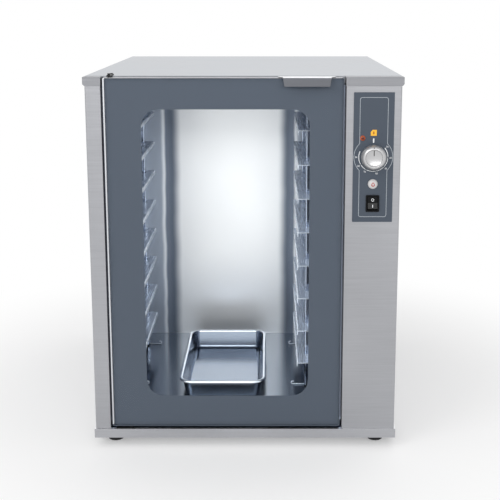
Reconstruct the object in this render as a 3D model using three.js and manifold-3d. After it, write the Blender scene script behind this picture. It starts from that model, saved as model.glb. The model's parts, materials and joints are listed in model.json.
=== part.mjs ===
// Proofing cabinet: a heated steel cabinet with a glazed door, eight pairs of tray ledges and a water pan.
// Millimetres, +Z up, the door facing -Y. The origin is on the floor, in the middle of the footprint.

import * as THREE from 'three';
import { mergeVertices } from 'three/addons/utils/BufferGeometryUtils.js';
import Module from 'manifold-3d';

const wasm = await Module();
wasm.setup();

// Overall sizes
const coverTop = 736;
const bodyWidth = 593;
const bodyDepth = 700;

// Sheet metal and clearances
const sheet = 1.2;
const linerSheet = 1;
const foldRadius = 2.4;
const seat = 0.3; // between pieces that rest on or fit in each other
const overrun = 5; // how far a cutter runs past the face that it cuts

// Feet
const footHeight = 20;
const footDiameter = 32;
const footTaper = 2;
const footInset = 33.5; // foot centre in from the side of the body
const footSetback = 43; // foot centre behind the front plane
const footStudDiameter = 6;
const footStudReach = 9;

// Base tray
const railProud = 3; // beyond the side panels
const railFrontProud = 1.5; // beyond the front plane
const railHeight = 18.5;
const railReturn = 7;
const railSheet = 1.5;

// Front: stile at the hinge side, door, control column
const stileWidth = 30.2;
const columnWidth = 104.9;
const doorGap = 3.7;
const doorFootGap = 5.9;
const rearFlange = 16;

// Top cover and the caps of the stile and the column
const coverSideProud = 3.5; // beyond each side panel
const lipHeight = 17;
const coverCorner = 3;
const coverRearProud = 3.5;
const capFrontProud = 1.5;

// Door
const doorDepth = 20;
const doorCorner = 3;
const glassThickness = 4;
const glassCorner = 2;
const borderThickness = 0.4; // slate border behind the glass, open at the window
const frameEdge = 2.6; // beside the glass, at the hinges
const frameLip = 0.9; // round the glass's other three edges
const frameFlange = 1.2;
const windowLeftBorder = 69.4;
const windowRightBorder = 62.9;
const windowTopBorder = 59.4;
const windowBottomBorder = 61.8;
const windowCorner = 33;
const windowMargin = 8; // the steel opening is this much wider than the clear window, each way
const gasketWidth = 8;
const gasketDepth = 6.5;
const gasketChamfer = 1.6;
const gasketMargin = 1;

// Hinge: two pins near the corner of the door, on brackets fixed to the cabinet
const hingeInset = 11;
const hingeDepth = 9;
const pinDiameter = 4;
const pinClearance = 0.1;
const pinReach = 9;
const bushWall = 1;
const bushLength = 11;
const hingeBlockWidth = 20;
const hingeBlockHeight = 12;
const bracketThickness = 2;
const bracketWidth = 8;
const bracketTail = 21;
const bracketArm = 34;
const bracketDepth = 15;
const bracketScrewDiameter = 4;
const bracketScrewHead = 6;
const bracketScrewRise = 1.6;
const bracketScrewReach = 3.6;
const bracketScrewCrownShare = 0.33; // flat of its crown, as a share of the head's diameter
const pinHeadDiameter = 5;
const pinHeadRise = 3.5;

// Door handle: a folded tab hooked over the top edge
const handleWidth = 107;
const handleTabWidth = 90;
const handleTabFoot = 85;
const handleTabDrop = 17.4;
const handleReach = 14;
const handleGrip = 12; // how far it lies back over the door
const handleSheet = 1.5;
const handleFromEdge = 15.8; // its flange ends this far from the free edge of the door

// Heated cavity
const cavityLeftSpace = 54.9; // from the outside of the body to the cavity
const cavityRightSpace = 164.3;
const cavityTopSpace = 36; // from the top of the cover to the cavity
const cavityFloor = 82; // above the floor that the cabinet stands on
const cavityBack = 458; // back wall behind the front plane
const cavityCorner = 3;
const linerLap = 12; // of the liner's front behind the control column

// Tray racks
const ledgeCount = 8;
const ledgeWidth = 27.5;
const ledgeLip = 9;
const ledgeSheet = 1.5;
const ledgeFront = 60;
const ledgeBackSpace = 58; // from the ledge's end to the back wall
const firstLedge = 72; // above the cavity floor
const lastLedge = 72.1; // below the cavity's ceiling
const uprightWidth = 24;
const uprightDepth = 10;
const uprightSheet = 1.2;
const uprightInset = 65; // centre of the front upright behind the ledges' front ends
const rearUprightInset = 23; // centre of the rear upright before their rear ends
const slotHeight = 4;
const slotWidth = 12;

// Water pan
const panLength = 325;
const panWidth = 176;
const panHeight = 40;
const panSheet = 0.8;
const panTaper = 7;
const panCorner = 22;
const panFootRadius = 8;
const panRim = 6;
const panRimDrop = 4;
const panFront = 40;
const panOffset = 8; // to the right of the cavity's middle

// Control plate
const plateThickness = 2;
const plateCorner = 1;
const plateLeftSpace = 14.8; // from the left edge of the column
const plateRightSpace = 14.1;
const plateTopSpace = 28.7; // from the top of the cover

// Controls: all but the lamp share the plate's middle line, and each is placed from the one above
const lampDrop = 85.9; // below the top of the plate
const lampToKnob = 35.9;
const knobToButton = 51.7;
const buttonToSwitch = 37.4;
const switchToPlateFoot = 36.1;
const lampAside = 20.6; // to the left of the middle line

// Knob and thermostat
const knobDiameter = 48;
const knobDepth = 18;
const knobRing = 6.5;
const knobChamfer = 2.6;
const knobRecess = 1.2;
const knobGap = 1.2;
const knobBoreDepth = 12;
const pointerWidth = 2.4;
const pointerDepth = 0.8;
const pointerLength = 14;
const shaftDiameter = 6;
const shaftFlat = 1.5;
const shaftClearance = 0.15;
const shaftHole = 10;
const thermostatWidth = 44;
const thermostatHeight = 36;
const thermostatDepth = 28;
const thermostatBore = 16;
const neckClearance = 0.3;
const bulbDiameter = 6;
const bulbLength = 80;
const bulbDrop = 85.5; // its top below the knob's axis
const bulbSetback = 220;
const capillaryDiameter = 2.4;
const capillaryRunShare = 0.5; // how far it runs back before it bends down, as a share of its way back

// Signal lamp
const lampDiameter = 10;
const lampDome = 3;
const lampDomeShares = [[0, 1], [0.5, 0.85], [0.85, 0.5]]; // of its radius and of its height
const lampBodyDepth = 22;
const lampBodyDiameter = 8;

// Push button
const buttonDiameter = 18.8;
const buttonClearance = 0.3;
const buttonProud = 6;
const buttonCrown = 4.8;
const buttonCrownShares = [[0, 0], [0.5, 0.12], [0.85, 0.4], [1, 1]]; // of its radius and of its depth
const buttonTravel = 2.5;
const buttonSkirt = 3.5;
const buttonStemDiameter = 6;
const buttonStem = 14;
const buttonCupWall = 2.2;
const buttonCupDepth = 20;

// Rocker switch
const switchWidth = 25.7;
const bezelHeight = 32.4;
const bezelProud = 2;
const bezelCorner = 2;
const switchBodyWidth = 22;
const switchBodyHeight = 28.4;
const switchBodyDepth = 24;
const switchWall = 1.1;
const switchWellDepth = 14;
const rockerSideGap = 0.4;
const rockerHeight = 23;
const rockerTilt = 10; // degrees to each side of the middle
const rockerProud = 3.2;
const rockerDish = 1.4;
const rockerPivotDepth = 6; // behind the front of the bezel
const rockerShoulder = 3;
const rockerKeel = 5;
const rockerKeelWidth = 8;

// Heating element, wiring space and insulation
const elementDiameter = 8;
const elementPitch = 60;
const elementTurns = 3;
const elementFront = 130;
const elementMargin = 38;
const elementTail = 46;
const elementBendShare = 0.667; // how far a bend's handles reach, as a share of the pitch
const terminalWidth = 60;
const terminalHeight = 24;
const terminalDepth = 30;
const terminalFromBack = 100;
const terminalPoles = 4;
const terminalRib = 2.4;
const terminalStep = 10;
const insulationGap = 0.5;
const insulationBack = 60;
const glandDiameter = 26;
const glandBore = 9;
const glandReach = 18;
const glandFlange = 5;
const glandTaper = 4;
const glandStemDiameter = 16;
const glandNutDiameter = 24;
const glandNutDepth = 5;
const glandHeight = 96;
const glandFromSide = 62;
const ventWidth = 88;
const ventHeight = 5;
const ventPitch = 14;
const ventCount = 7;
const ventLow = 150; // above the floor
const ventTopSpace = 87; // from the top of the cover
const ventFromSide = 28;

// Heights and places that follow from the sizes above
const halfBody = bodyWidth / 2;
const coverWidth = bodyWidth + 2 * coverSideProud;
const railTop = footHeight + railHeight;
const trayFloorTop = footHeight + railSheet;
const bodyTop = coverTop - sheet - seat;
const lipBottom = coverTop - lipHeight;
const lipBevel = coverSideProud - seat;
const doorLeft = -halfBody + stileWidth + doorGap;
const columnLeft = halfBody - columnWidth;
const doorRight = columnLeft - doorGap;
const doorBottom = railTop + doorFootGap;
const doorTop = coverTop - handleSheet - seat;
const frameDepth = doorDepth - sheet - seat;
const glassRecess = glassThickness + borderThickness + 2 * seat;
const linerFront = doorDepth + gasketDepth + seat;
const coverFront = linerFront;
const hingeX = doorLeft + hingeInset;
const bushDiameter = pinDiameter + 2 * pinClearance + 2 * bushWall;
const upperScrewY = coverFront + bracketTail - bracketWidth / 2;
const lowerScrewX = hingeX + bracketArm - bracketWidth;
const lowerScrewY = railReturn / 2 - railFrontProud;
const cavityLeft = cavityLeftSpace - halfBody;
const cavityRight = halfBody - cavityRightSpace;
const cavityWidth = cavityRight - cavityLeft;
const cavityTop = coverTop - cavityTopSpace;
const cavityHeight = cavityTop - cavityFloor;
const cavityMiddle = (cavityLeft + cavityRight) / 2;
const insideRail = -halfBody - railProud + railReturn + seat;
const ledgePitch = (cavityHeight - firstLedge - lastLedge) / (ledgeCount - 1);
const ledgeBack = cavityBack - ledgeBackSpace;
const frontUpright = ledgeFront + uprightInset;
const rearUpright = ledgeBack - rearUprightInset;
const plateLeft = columnLeft + plateLeftSpace;
const plateRight = halfBody - plateRightSpace;
const plateTop = coverTop - plateTopSpace;
const plateFace = -seat - plateThickness;
const lampHeight = plateTop - lampDrop;
const knobHeight = lampHeight - lampToKnob;
const buttonHeight = knobHeight - knobToButton;
const switchHeight = buttonHeight - buttonToSwitch;
const controlX = (plateLeft + plateRight) / 2;
const lampX = controlX - lampAside;
const bulbTop = knobHeight - bulbDrop;
const terminalFront = bodyDepth - terminalFromBack;
const columnBack = sheet + seat;
const buttonBore = buttonDiameter + 2 * buttonClearance;
const knobBack = plateFace - knobGap;
const knobFront = knobBack - knobDepth;
const bezelFront = plateFace - seat - bezelProud;
const rockerPivotY = bezelFront + rockerPivotDepth;
const cupFloor = buttonSkirt + buttonTravel + seat;
const glandX = halfBody - glandFromSide;
const glandBack = bodyDepth + seat + glandReach;

// Materials
function material(color, roughness, metalness) {
  return new THREE.MeshStandardMaterial({ color, roughness, metalness });
}

const brushedSteel = material(0xc3c5c8, 0.35, 1);
const brightSteel = material(0xe2e4e8, 0.15, 1);
const slateGlass = material(0x5d646e, 0.1, 0);
const clearGlass = material(0xdfe6ea, 0.05, 0);
clearGlass.transparent = true;
clearGlass.opacity = 0.25;
const blackPlastic = material(0x16171a, 0.45, 0);
const blackSteel = material(0x1c1d1f, 0.4, 0.6);
const rubber = material(0x202124, 0.85, 0);
const creamPlastic = material(0xe3e1da, 0.35, 0.2);
const whitePlastic = material(0xf2f2ee, 0.3, 0);
const redLens = material(0xd8342a, 0.2, 0);
const greyPlastic = material(0x8c8f93, 0.5, 0);
const mineralWool = material(0xc9b884, 0.95, 0);
const greySilicone = material(0x3b3d41, 0.7, 0);
const copper = material(0xb8713f, 0.35, 1);

// Closed geometries into solids, with shared corners and without flat triangles
function toSolid(geometry) {
  const bare = geometry.index ? geometry.toNonIndexed() : geometry.clone();
  bare.deleteAttribute('normal');
  bare.deleteAttribute('uv');
  const merged = mergeVertices(bare);
  const corners = merged.index.array;
  const kept = [];
  for (let i = 0; i < corners.length; i += 3) {
    const [a, b, c] = [corners[i], corners[i + 1], corners[i + 2]];
    if (a !== b && b !== c && c !== a) kept.push(a, b, c);
  }
  const vertProperties = new Float32Array(merged.attributes.position.array);
  return new wasm.Manifold(new wasm.Mesh({ numProp: 3, vertProperties, triVerts: new Uint32Array(kept) }));
}

function toGeometry(solid) {
  const mesh = solid.getMesh();
  const indexed = new THREE.BufferGeometry();
  indexed.setAttribute('position', new THREE.BufferAttribute(new Float32Array(mesh.vertProperties), 3));
  indexed.setIndex(new THREE.BufferAttribute(new Uint32Array(mesh.triVerts), 1));
  const faceted = indexed.toNonIndexed();
  faceted.computeVertexNormals();
  return faceted;
}

function cut(geometry, ...tools) {
  return toGeometry(tools.reduce((solid, tool) => solid.subtract(toSolid(tool)), toSolid(geometry)));
}

function join(geometry, ...others) {
  return toGeometry(others.reduce((solid, other) => solid.add(toSolid(other)), toSolid(geometry)));
}

function common(geometry, ...others) {
  return toGeometry(others.reduce((solid, other) => solid.intersect(toSolid(other)), toSolid(geometry)));
}

// Turns the triangles round if they enclose a negative volume
function facingOut(geometry) {
  const bare = geometry.index ? geometry.toNonIndexed() : geometry;
  const place = bare.attributes.position;
  const corners = [new THREE.Vector3(), new THREE.Vector3(), new THREE.Vector3()];
  const read = (i) => corners.forEach((corner, k) => corner.fromBufferAttribute(place, i + k));
  let volume = 0;
  for (let i = 0; i < place.count; i += 3) {
    read(i);
    volume += corners[0].dot(corners[1].clone().cross(corners[2]));
  }
  for (let i = 0; volume < 0 && i < place.count; i += 3) {
    read(i);
    place.setXYZ(i, corners[1].x, corners[1].y, corners[1].z);
    place.setXYZ(i + 1, corners[0].x, corners[0].y, corners[0].z);
  }
  bare.computeVertexNormals();
  return bare;
}

// A box between two corners
function block(x0, x1, y0, y1, z0, z1) {
  const geometry = new THREE.BoxGeometry(x1 - x0, y1 - y0, z1 - z0);
  return geometry.translate((x0 + x1) / 2, (y0 + y1) / 2, (z0 + z1) / 2);
}

// Round bars along +Y and along +Z
function barY(diameter, x, z, y0, y1, segments = 32) {
  const geometry = new THREE.CylinderGeometry(diameter / 2, diameter / 2, y1 - y0, segments);
  return geometry.translate(x, (y0 + y1) / 2, z);
}

function barZ(diameter, x, y, z0, z1, segments = 32) {
  const geometry = new THREE.CylinderGeometry(diameter / 2, diameter / 2, z1 - z0, segments);
  return geometry.rotateX(Math.PI / 2).translate(x, y, (z0 + z1) / 2);
}

// A profile of [radius, height] points turned round the Z axis
function turned(profile, segments = 32) {
  const points = profile.map(([radius, height]) => new THREE.Vector2(radius, height));
  return facingOut(new THREE.LatheGeometry(points, segments).rotateX(Math.PI / 2));
}

// A profile of [radius, y] points turned round an axis that runs along Y
function turnedAlongY(profile, segments = 32) {
  const points = profile.map(([radius, y]) => new THREE.Vector2(radius, y));
  return facingOut(new THREE.LatheGeometry(points, segments));
}

// A rectangle with round corners, as points that run anticlockwise
function roundedRectangle(halfX, halfY, radius, steps = 5) {
  const points = [];
  for (let corner = 0; corner < 4; corner += 1) {
    const centreX = (corner === 0 || corner === 3 ? 1 : -1) * (halfX - radius);
    const centreY = (corner < 2 ? 1 : -1) * (halfY - radius);
    for (let step = 0; step <= steps; step += 1) {
      const angle = (corner + step / steps) * Math.PI / 2;
      points.push([centreX + radius * Math.cos(angle), centreY + radius * Math.sin(angle)]);
    }
  }
  return points;
}

// Sweeps a profile of [reach, height] points round a rounded rectangle. An open profile starts and
// ends on a flat face that fills the rectangle; a closed one makes a ring.
function swept(profile, halfX, halfY, radius, closed, steps = 5) {
  const rings = profile.map(([reach, height]) => roundedRectangle(
    halfX + reach, halfY + reach, Math.max(radius + reach, seat), steps,
  ).map(([x, y]) => new THREE.Vector3(x, y, height)));
  const corners = [];
  const links = closed ? rings.length : rings.length - 1;
  for (let i = 0; i < links; i += 1) {
    const here = rings[i];
    const next = rings[(i + 1) % rings.length];
    here.forEach((point, k) => {
      const after = (k + 1) % here.length;
      corners.push(point, here[after], next[after], point, next[after], next[k]);
    });
  }
  const first = rings[0];
  const last = rings[rings.length - 1];
  for (let k = 1; !closed && k < first.length - 1; k += 1) {
    corners.push(first[0], first[k + 1], first[k], last[0], last[k], last[k + 1]);
  }
  return facingOut(new THREE.BufferGeometry().setFromPoints(corners));
}

// Turns a piece made in the plan so that it stands in the plane of the door, its height towards -Y
function stood(geometry, x, z) {
  return geometry.rotateX(Math.PI / 2).translate(x, 0, z);
}

// An outline of [x, z] points, from y0 back to y1
function extrudedAlongY(outline, y0, y1) {
  const shape = new THREE.Shape(outline.map(([x, z]) => new THREE.Vector2(x, z)));
  const geometry = new THREE.ExtrudeGeometry(shape, { depth: y1 - y0, bevelEnabled: false });
  return facingOut(geometry.rotateX(Math.PI / 2).translate(0, y1, 0));
}

// An outline of [x, y] points, from z0 up to z1
function extrudedAlongZ(outline, z0, z1) {
  const shape = new THREE.Shape(outline.map(([x, y]) => new THREE.Vector2(x, y)));
  const geometry = new THREE.ExtrudeGeometry(shape, { depth: z1 - z0, bevelEnabled: false });
  return facingOut(geometry.translate(0, 0, z0));
}

// An outline of [y, z] points, from x0 to x1
function extrudedAlongX(outline, x0, x1) {
  const shape = new THREE.Shape(outline.map(([y, z]) => new THREE.Vector2(y, z)));
  const geometry = new THREE.ExtrudeGeometry(shape, { depth: x1 - x0, bevelEnabled: false });
  const turn = new THREE.Matrix4().makeBasis(
    new THREE.Vector3(0, 1, 0), new THREE.Vector3(0, 0, 1), new THREE.Vector3(1, 0, 0),
  );
  return facingOut(geometry.applyMatrix4(turn).translate(x0, 0, 0));
}

// A plate in the plane of the door, its outline a rounded rectangle, from y0 back to y1
function doorPlate(x0, x1, z0, z1, radius, y0, y1) {
  const outline = roundedRectangle((x1 - x0) / 2, (z1 - z0) / 2, radius);
  const middleX = (x0 + x1) / 2;
  const middleZ = (z0 + z1) / 2;
  return extrudedAlongY(outline.map(([x, z]) => [x + middleX, z + middleZ]), y0, y1);
}

// The outline of a bent sheet: a path with its folds rounded, given a thickness to its left
function foldedOutline(path, thickness, steps = 3) {
  const points = path.map(([x, y]) => new THREE.Vector2(x, y));
  const toLeft = (direction) => new THREE.Vector2(-direction.y, direction.x);
  const near = [];
  const far = [];
  points.forEach((point, i) => {
    const before = points[i - 1];
    const after = points[i + 1];
    const out = (after || point).clone().sub(after ? point : before).normalize();
    const into = before ? point.clone().sub(before).normalize() : out;
    const turn = Math.atan2(into.cross(out), into.dot(out));
    if (!before || !after) {
      near.push(point);
      far.push(point.clone().addScaledVector(toLeft(out), thickness));
      return;
    }
    const side = Math.sign(turn);
    const start = point.clone().addScaledVector(into, -foldRadius * Math.tan(Math.abs(turn) / 2));
    const centre = start.clone().addScaledVector(toLeft(into), side * foldRadius);
    for (let step = 0; step <= steps; step += 1) {
      const spoke = start.clone().sub(centre).rotateAround(new THREE.Vector2(), turn * step / steps);
      near.push(centre.clone().add(spoke));
      far.push(centre.clone().addScaledVector(spoke, 1 - side * thickness / foldRadius));
    }
  });
  return near.concat(far.reverse()).map((point) => [point.x, point.y]);
}

// The model: the cabinet's own frame has the front plane at y = 0
const proofingCabinet = new THREE.Group();
const cabinet = new THREE.Group();
cabinet.position.y = -(glandBack + knobFront) / 2;
proofingCabinet.add(cabinet);

function add(name, geometry, look, parent = cabinet) {
  const mesh = new THREE.Mesh(geometry, look);
  mesh.name = name;
  parent.add(mesh);
  return mesh;
}

// Base tray: floor sheet with upstanding rails that turn inwards at the top
function footPlaces() {
  const x = halfBody - footInset;
  const rear = bodyDepth - footSetback;
  return {
    front_left: [-x, footSetback],
    front_right: [x, footSetback],
    rear_left: [-x, rear],
    rear_right: [x, rear],
  };
}

function baseTray() {
  const halfX = halfBody + railProud;
  const halfY = (bodyDepth + railFrontProud) / 2;
  const tray = swept([
    [0, footHeight],
    [0, railTop],
    [-railReturn, railTop],
    [-railReturn, railTop - railSheet],
    [-railSheet, railTop - railSheet],
    [-railSheet, trayFloorTop],
  ], halfX, halfY, foldRadius, false, 3).translate(0, halfY - railFrontProud, 0);
  const studHoles = Object.values(footPlaces()).map(([x, y]) => (
    barZ(footStudDiameter + 2 * seat, x, y, footHeight - overrun, trayFloorTop + overrun, 16)
  ));
  const screwHole = barZ(
    bracketScrewDiameter + 2 * seat, lowerScrewX, lowerScrewY, railTop - overrun, railTop + overrun, 16,
  );
  return cut(tray, ...studHoles, screwHole);
}

// Foot: tapered rubber block on a stud that passes up through the tray
function foot() {
  const radius = footDiameter / 2;
  const top = footHeight - seat;
  return turned([
    [0, 0],
    [radius - footTaper, 0],
    [radius, footTaper],
    [radius - footTaper, top],
    [footStudDiameter / 2, top],
    [footStudDiameter / 2, top + footStudReach],
    [0, top + footStudReach],
  ], 20);
}

// Side panel: one sheet, folded back beside the door, round the front, and in at the rear
function sidePanel(side, frontWidth) {
  const outside = side * halfBody;
  const doorSide = outside - side * frontWidth;
  const rear = bodyDepth - sheet - seat;
  const path = [
    [doorSide, linerFront - seat],
    [doorSide, 0],
    [outside, 0],
    [outside, rear],
    [outside - side * rearFlange, rear],
  ];
  return extrudedAlongZ(foldedOutline(path, side * sheet), railTop + seat, bodyTop);
}

// The holes that the controls need, through the control column and its plate
function controlHoles(back) {
  const front = plateFace - overrun;
  const halfWidth = switchBodyWidth / 2 + seat;
  const halfHeight = switchBodyHeight / 2 + seat;
  return [
    barY(shaftHole, controlX, knobHeight, front, back),
    barY(lampBodyDiameter + 2 * seat, lampX, lampHeight, front, back, 24),
    barY(buttonBore, controlX, buttonHeight, front, back),
    block(
      controlX - halfWidth, controlX + halfWidth, front, back,
      switchHeight - halfHeight, switchHeight + halfHeight,
    ),
  ];
}

function controlPlate() {
  const plateFoot = switchHeight - switchToPlateFoot;
  const plate = doorPlate(plateLeft, plateRight, plateFoot, plateTop, plateCorner, plateFace, -seat);
  return cut(plate, ...controlHoles(overrun));
}

// Back panel: flat sheet with two groups of vents over the wiring space and a hole for the gland
function backPanel() {
  const front = bodyDepth - sheet;
  const panel = block(-halfBody, halfBody, front, bodyDepth, railTop + seat, bodyTop);
  const right = halfBody - ventFromSide;
  const groupHeight = (ventCount - 1) * ventPitch + ventHeight;
  const groups = [ventLow, coverTop - ventTopSpace - groupHeight];
  const vents = groups.flatMap((low) => Array.from({ length: ventCount }, (_, i) => {
    const z = low + i * ventPitch;
    return block(right - ventWidth, right, front - overrun, bodyDepth + overrun, z, z + ventHeight);
  }));
  const glandHole = barY(
    glandStemDiameter + 2 * seat, glandX, glandHeight, front - overrun, bodyDepth + overrun, 24,
  );
  return cut(panel, ...vents, glandHole);
}

// Top cover: shallow tray, open below, whose lips end in an inward bevel and let the panels pass
function topCover() {
  const halfX = coverWidth / 2;
  const halfY = (bodyDepth + coverRearProud - coverFront) / 2;
  const cover = swept([
    [-sheet, coverTop],
    [0, coverTop - sheet],
    [0, lipBottom + lipBevel],
    [-lipBevel, lipBottom],
    [-lipBevel, lipBottom + sheet],
    [-sheet, lipBottom + lipBevel + sheet / 2],
    [-sheet, coverTop - sheet],
  ], halfX, halfY, coverCorner, false, 4).translate(0, coverFront + halfY, 0);
  const slots = [-1, 1].map((side) => {
    const inner = side * (halfBody - sheet - seat);
    const outer = side * (halfBody + seat);
    return block(
      Math.min(inner, outer), Math.max(inner, outer), coverFront - overrun,
      coverFront + lipBevel + seat, lipBottom - overrun, bodyTop + seat / 2,
    );
  });
  const screwHole = barZ(
    bracketScrewDiameter + 2 * seat, hingeX, upperScrewY, coverTop - overrun, coverTop + overrun, 16,
  );
  return cut(cover, ...slots, screwHole);
}

// Cap of the stile or the column: top, front lip and a bevelled outer lip, level with the cover
function frontCap(side, frontWidth) {
  const outside = side * coverWidth / 2;
  const doorSide = side * (halfBody - frontWidth);
  const inward = (distance) => outside - side * distance;
  const section = extrudedAlongY([
    [doorSide, coverTop],
    [inward(sheet), coverTop],
    [outside, coverTop - sheet],
    [outside, lipBottom + lipBevel],
    [inward(lipBevel), lipBottom],
    [inward(lipBevel), lipBottom + sheet],
    [inward(sheet), lipBottom + lipBevel + sheet / 2],
    [inward(sheet), coverTop - sheet],
    [doorSide, coverTop - sheet],
  ], -capFrontProud, doorDepth);
  const lip = extrudedAlongY([
    [doorSide, coverTop],
    [inward(sheet), coverTop],
    [outside, coverTop - sheet],
    [outside, lipBottom + lipBevel],
    [inward(lipBevel), lipBottom],
    [doorSide, lipBottom],
  ], -capFrontProud, -seat);
  return join(section, lip);
}

// Liner: the cavity's five walls and the front plate that closes the space round its mouth
function cavityLiner() {
  const halfX = cavityWidth / 2;
  const halfZ = cavityHeight / 2;
  const middleZ = cavityFloor + halfZ;
  const walls = stood(swept([
    [0, -cavityBack],
    [0, -linerFront],
    [linerSheet, -linerFront],
    [linerSheet, -cavityBack - linerSheet],
  ], halfX, halfZ, cavityCorner, false), cavityMiddle, middleZ);
  const front = block(
    insideRail, columnLeft + linerLap, linerFront, linerFront + linerSheet,
    trayFloorTop + seat, lipBottom - seat,
  );
  const mouth = doorPlate(
    cavityLeft - linerSheet / 2, cavityRight + linerSheet / 2,
    cavityFloor - linerSheet / 2, cavityTop + linerSheet / 2,
    cavityCorner, linerFront - overrun, linerFront + overrun,
  );
  return join(walls, cut(front, mouth));
}

// Tray rack: slotted channels against the wall, and ledges notched round them
function rackUpright(side, setback) {
  const wall = (side < 0 ? cavityLeft : cavityRight) - side * seat;
  const face = wall - side * uprightDepth;
  const front = setback - uprightWidth / 2;
  const back = setback + uprightWidth / 2;
  const path = [[wall, front], [face, front], [face, back], [wall, back]];
  const channel = extrudedAlongZ(
    foldedOutline(path, side < 0 ? uprightSheet : -uprightSheet),
    cavityFloor + cavityCorner + seat, cavityTop - cavityCorner - seat,
  );
  const slots = ledgeLevels().map((level) => {
    const low = level - ledgeLip - slotHeight;
    const reach = overrun / 2;
    return block(
      face - reach, face + reach, setback - slotWidth / 2, setback + slotWidth / 2, low, low + slotHeight,
    );
  });
  return cut(channel, ...slots);
}

function ledgeLevels() {
  return Array.from({ length: ledgeCount }, (_, i) => cavityFloor + firstLedge + i * ledgePitch);
}

function rackLedge(side, level) {
  const wall = (side < 0 ? cavityLeft : cavityRight) - side * seat;
  const inner = wall - side * ledgeWidth;
  const path = [[wall, level], [inner, level], [inner, level - ledgeLip]];
  const outline = foldedOutline(path, side < 0 ? -ledgeSheet : ledgeSheet);
  const strip = extrudedAlongY(outline, ledgeFront, ledgeBack);
  const notchEnd = wall - side * (uprightDepth + seat);
  const beyond = wall + side * overrun;
  const notches = [frontUpright, rearUpright].map((setback) => block(
    Math.min(notchEnd, beyond), Math.max(notchEnd, beyond),
    setback - uprightWidth / 2 - seat, setback + uprightWidth / 2 + seat,
    level - ledgeLip, level + overrun,
  ));
  return cut(strip, ...notches);
}

// Door frame: tray-shaped rim round the glass, with a flange behind it, a wall round the window and
// blocks for the hinge bushes
function windowPlate(margin, y0, y1) {
  return doorPlate(
    doorLeft + windowLeftBorder - margin, doorRight - windowRightBorder + margin,
    doorBottom + windowBottomBorder - margin, doorTop - windowTopBorder + margin,
    windowCorner + margin, y0, y1,
  );
}

function insetPlate(inset, y0, y1) {
  return doorPlate(
    doorLeft + inset, doorRight - inset, doorBottom + inset, doorTop - inset,
    Math.max(doorCorner - inset, seat), y0, y1,
  );
}

// A plate in the frame's recess for the glass, set in from its edges by a margin
function glassPlate(margin, y0, y1) {
  return doorPlate(
    doorLeft + frameEdge + margin, doorRight - frameLip - margin,
    doorBottom + frameLip + margin, doorTop - frameLip - margin,
    glassCorner, y0, y1,
  );
}

function doorFrame() {
  const rim = insetPlate(0, 0, frameDepth);
  const recess = glassPlate(0, -overrun, glassRecess);
  const opening = windowPlate(windowMargin, -overrun, frameDepth + overrun);
  const blockRight = doorLeft + frameEdge + hingeBlockWidth;
  const lowBlock = block(doorLeft, blockRight, 0, frameDepth, doorBottom, doorBottom + hingeBlockHeight);
  const highBlock = block(doorLeft, blockRight, 0, frameDepth, doorTop - hingeBlockHeight, doorTop);
  const hollow = cut(
    insetPlate(frameEdge, glassRecess + frameFlange, frameDepth + overrun),
    windowPlate(windowMargin + frameFlange, 0, frameDepth + 2 * overrun),
    lowBlock, highBlock,
  );
  const bore = bushDiameter + 2 * seat;
  const bores = [
    barZ(bore, hingeX, hingeDepth, doorBottom - overrun, doorBottom + hingeBlockHeight + overrun, 24),
    barZ(bore, hingeX, hingeDepth, doorTop - hingeBlockHeight - overrun, doorTop + overrun, 24),
  ];
  return cut(rim, recess, opening, hollow, ...bores);
}

function doorGlass() {
  return glassPlate(seat, 0, glassThickness);
}

function doorBorder() {
  const front = glassThickness + seat;
  const border = glassPlate(seat, front, front + borderThickness);
  return cut(border, windowPlate(0, front - overrun, front + overrun));
}

function doorInnerPanel() {
  return cut(insetPlate(0, doorDepth - sheet, doorDepth), windowPlate(windowMargin, 0, doorDepth + overrun));
}

function doorGasket() {
  const base = -doorDepth - seat;
  const tip = -doorDepth - gasketDepth;
  const ring = swept([
    [0, base],
    [0, tip + gasketChamfer],
    [gasketChamfer, tip],
    [gasketWidth - gasketChamfer, tip],
    [gasketWidth, tip + gasketChamfer],
    [gasketWidth, base],
  ], cavityWidth / 2 + gasketMargin, cavityHeight / 2 + gasketMargin, cavityCorner, true);
  return stood(ring, cavityMiddle, cavityFloor + cavityHeight / 2);
}

// Handle: a sheet that lies on the top edge, reaches forward and drops in front of the glass
function doorHandle() {
  const middle = doorRight - handleFromEdge - handleWidth / 2;
  const half = handleWidth / 2;
  const halfTab = handleTabWidth / 2;
  const halfFoot = handleTabFoot / 2;
  const foot = coverTop - handleTabDrop;
  const strip = extrudedAlongX(foldedOutline([
    [handleGrip, coverTop],
    [-handleReach, coverTop],
    [-handleReach, foot],
  ], handleSheet), middle - half, middle + half);
  const plan = extrudedAlongZ([
    [middle - half, handleGrip + overrun],
    [middle - half, 0],
    [middle - halfTab, -handleReach + foldRadius],
    [middle - halfTab, -handleReach - overrun],
    [middle + halfTab, -handleReach - overrun],
    [middle + halfTab, -handleReach + foldRadius],
    [middle + half, 0],
    [middle + half, handleGrip + overrun],
  ], foot - overrun, coverTop + overrun);
  const face = extrudedAlongY([
    [middle - half - overrun, coverTop + overrun],
    [middle - half - overrun, coverTop - foldRadius],
    [middle - halfTab, coverTop - foldRadius],
    [middle - halfFoot, foot - seat],
    [middle + halfFoot, foot - seat],
    [middle + halfTab, coverTop - foldRadius],
    [middle + half + overrun, coverTop - foldRadius],
    [middle + half + overrun, coverTop + overrun],
  ], -handleReach - overrun, handleGrip + overrun);
  return common(strip, plan, face);
}

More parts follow.
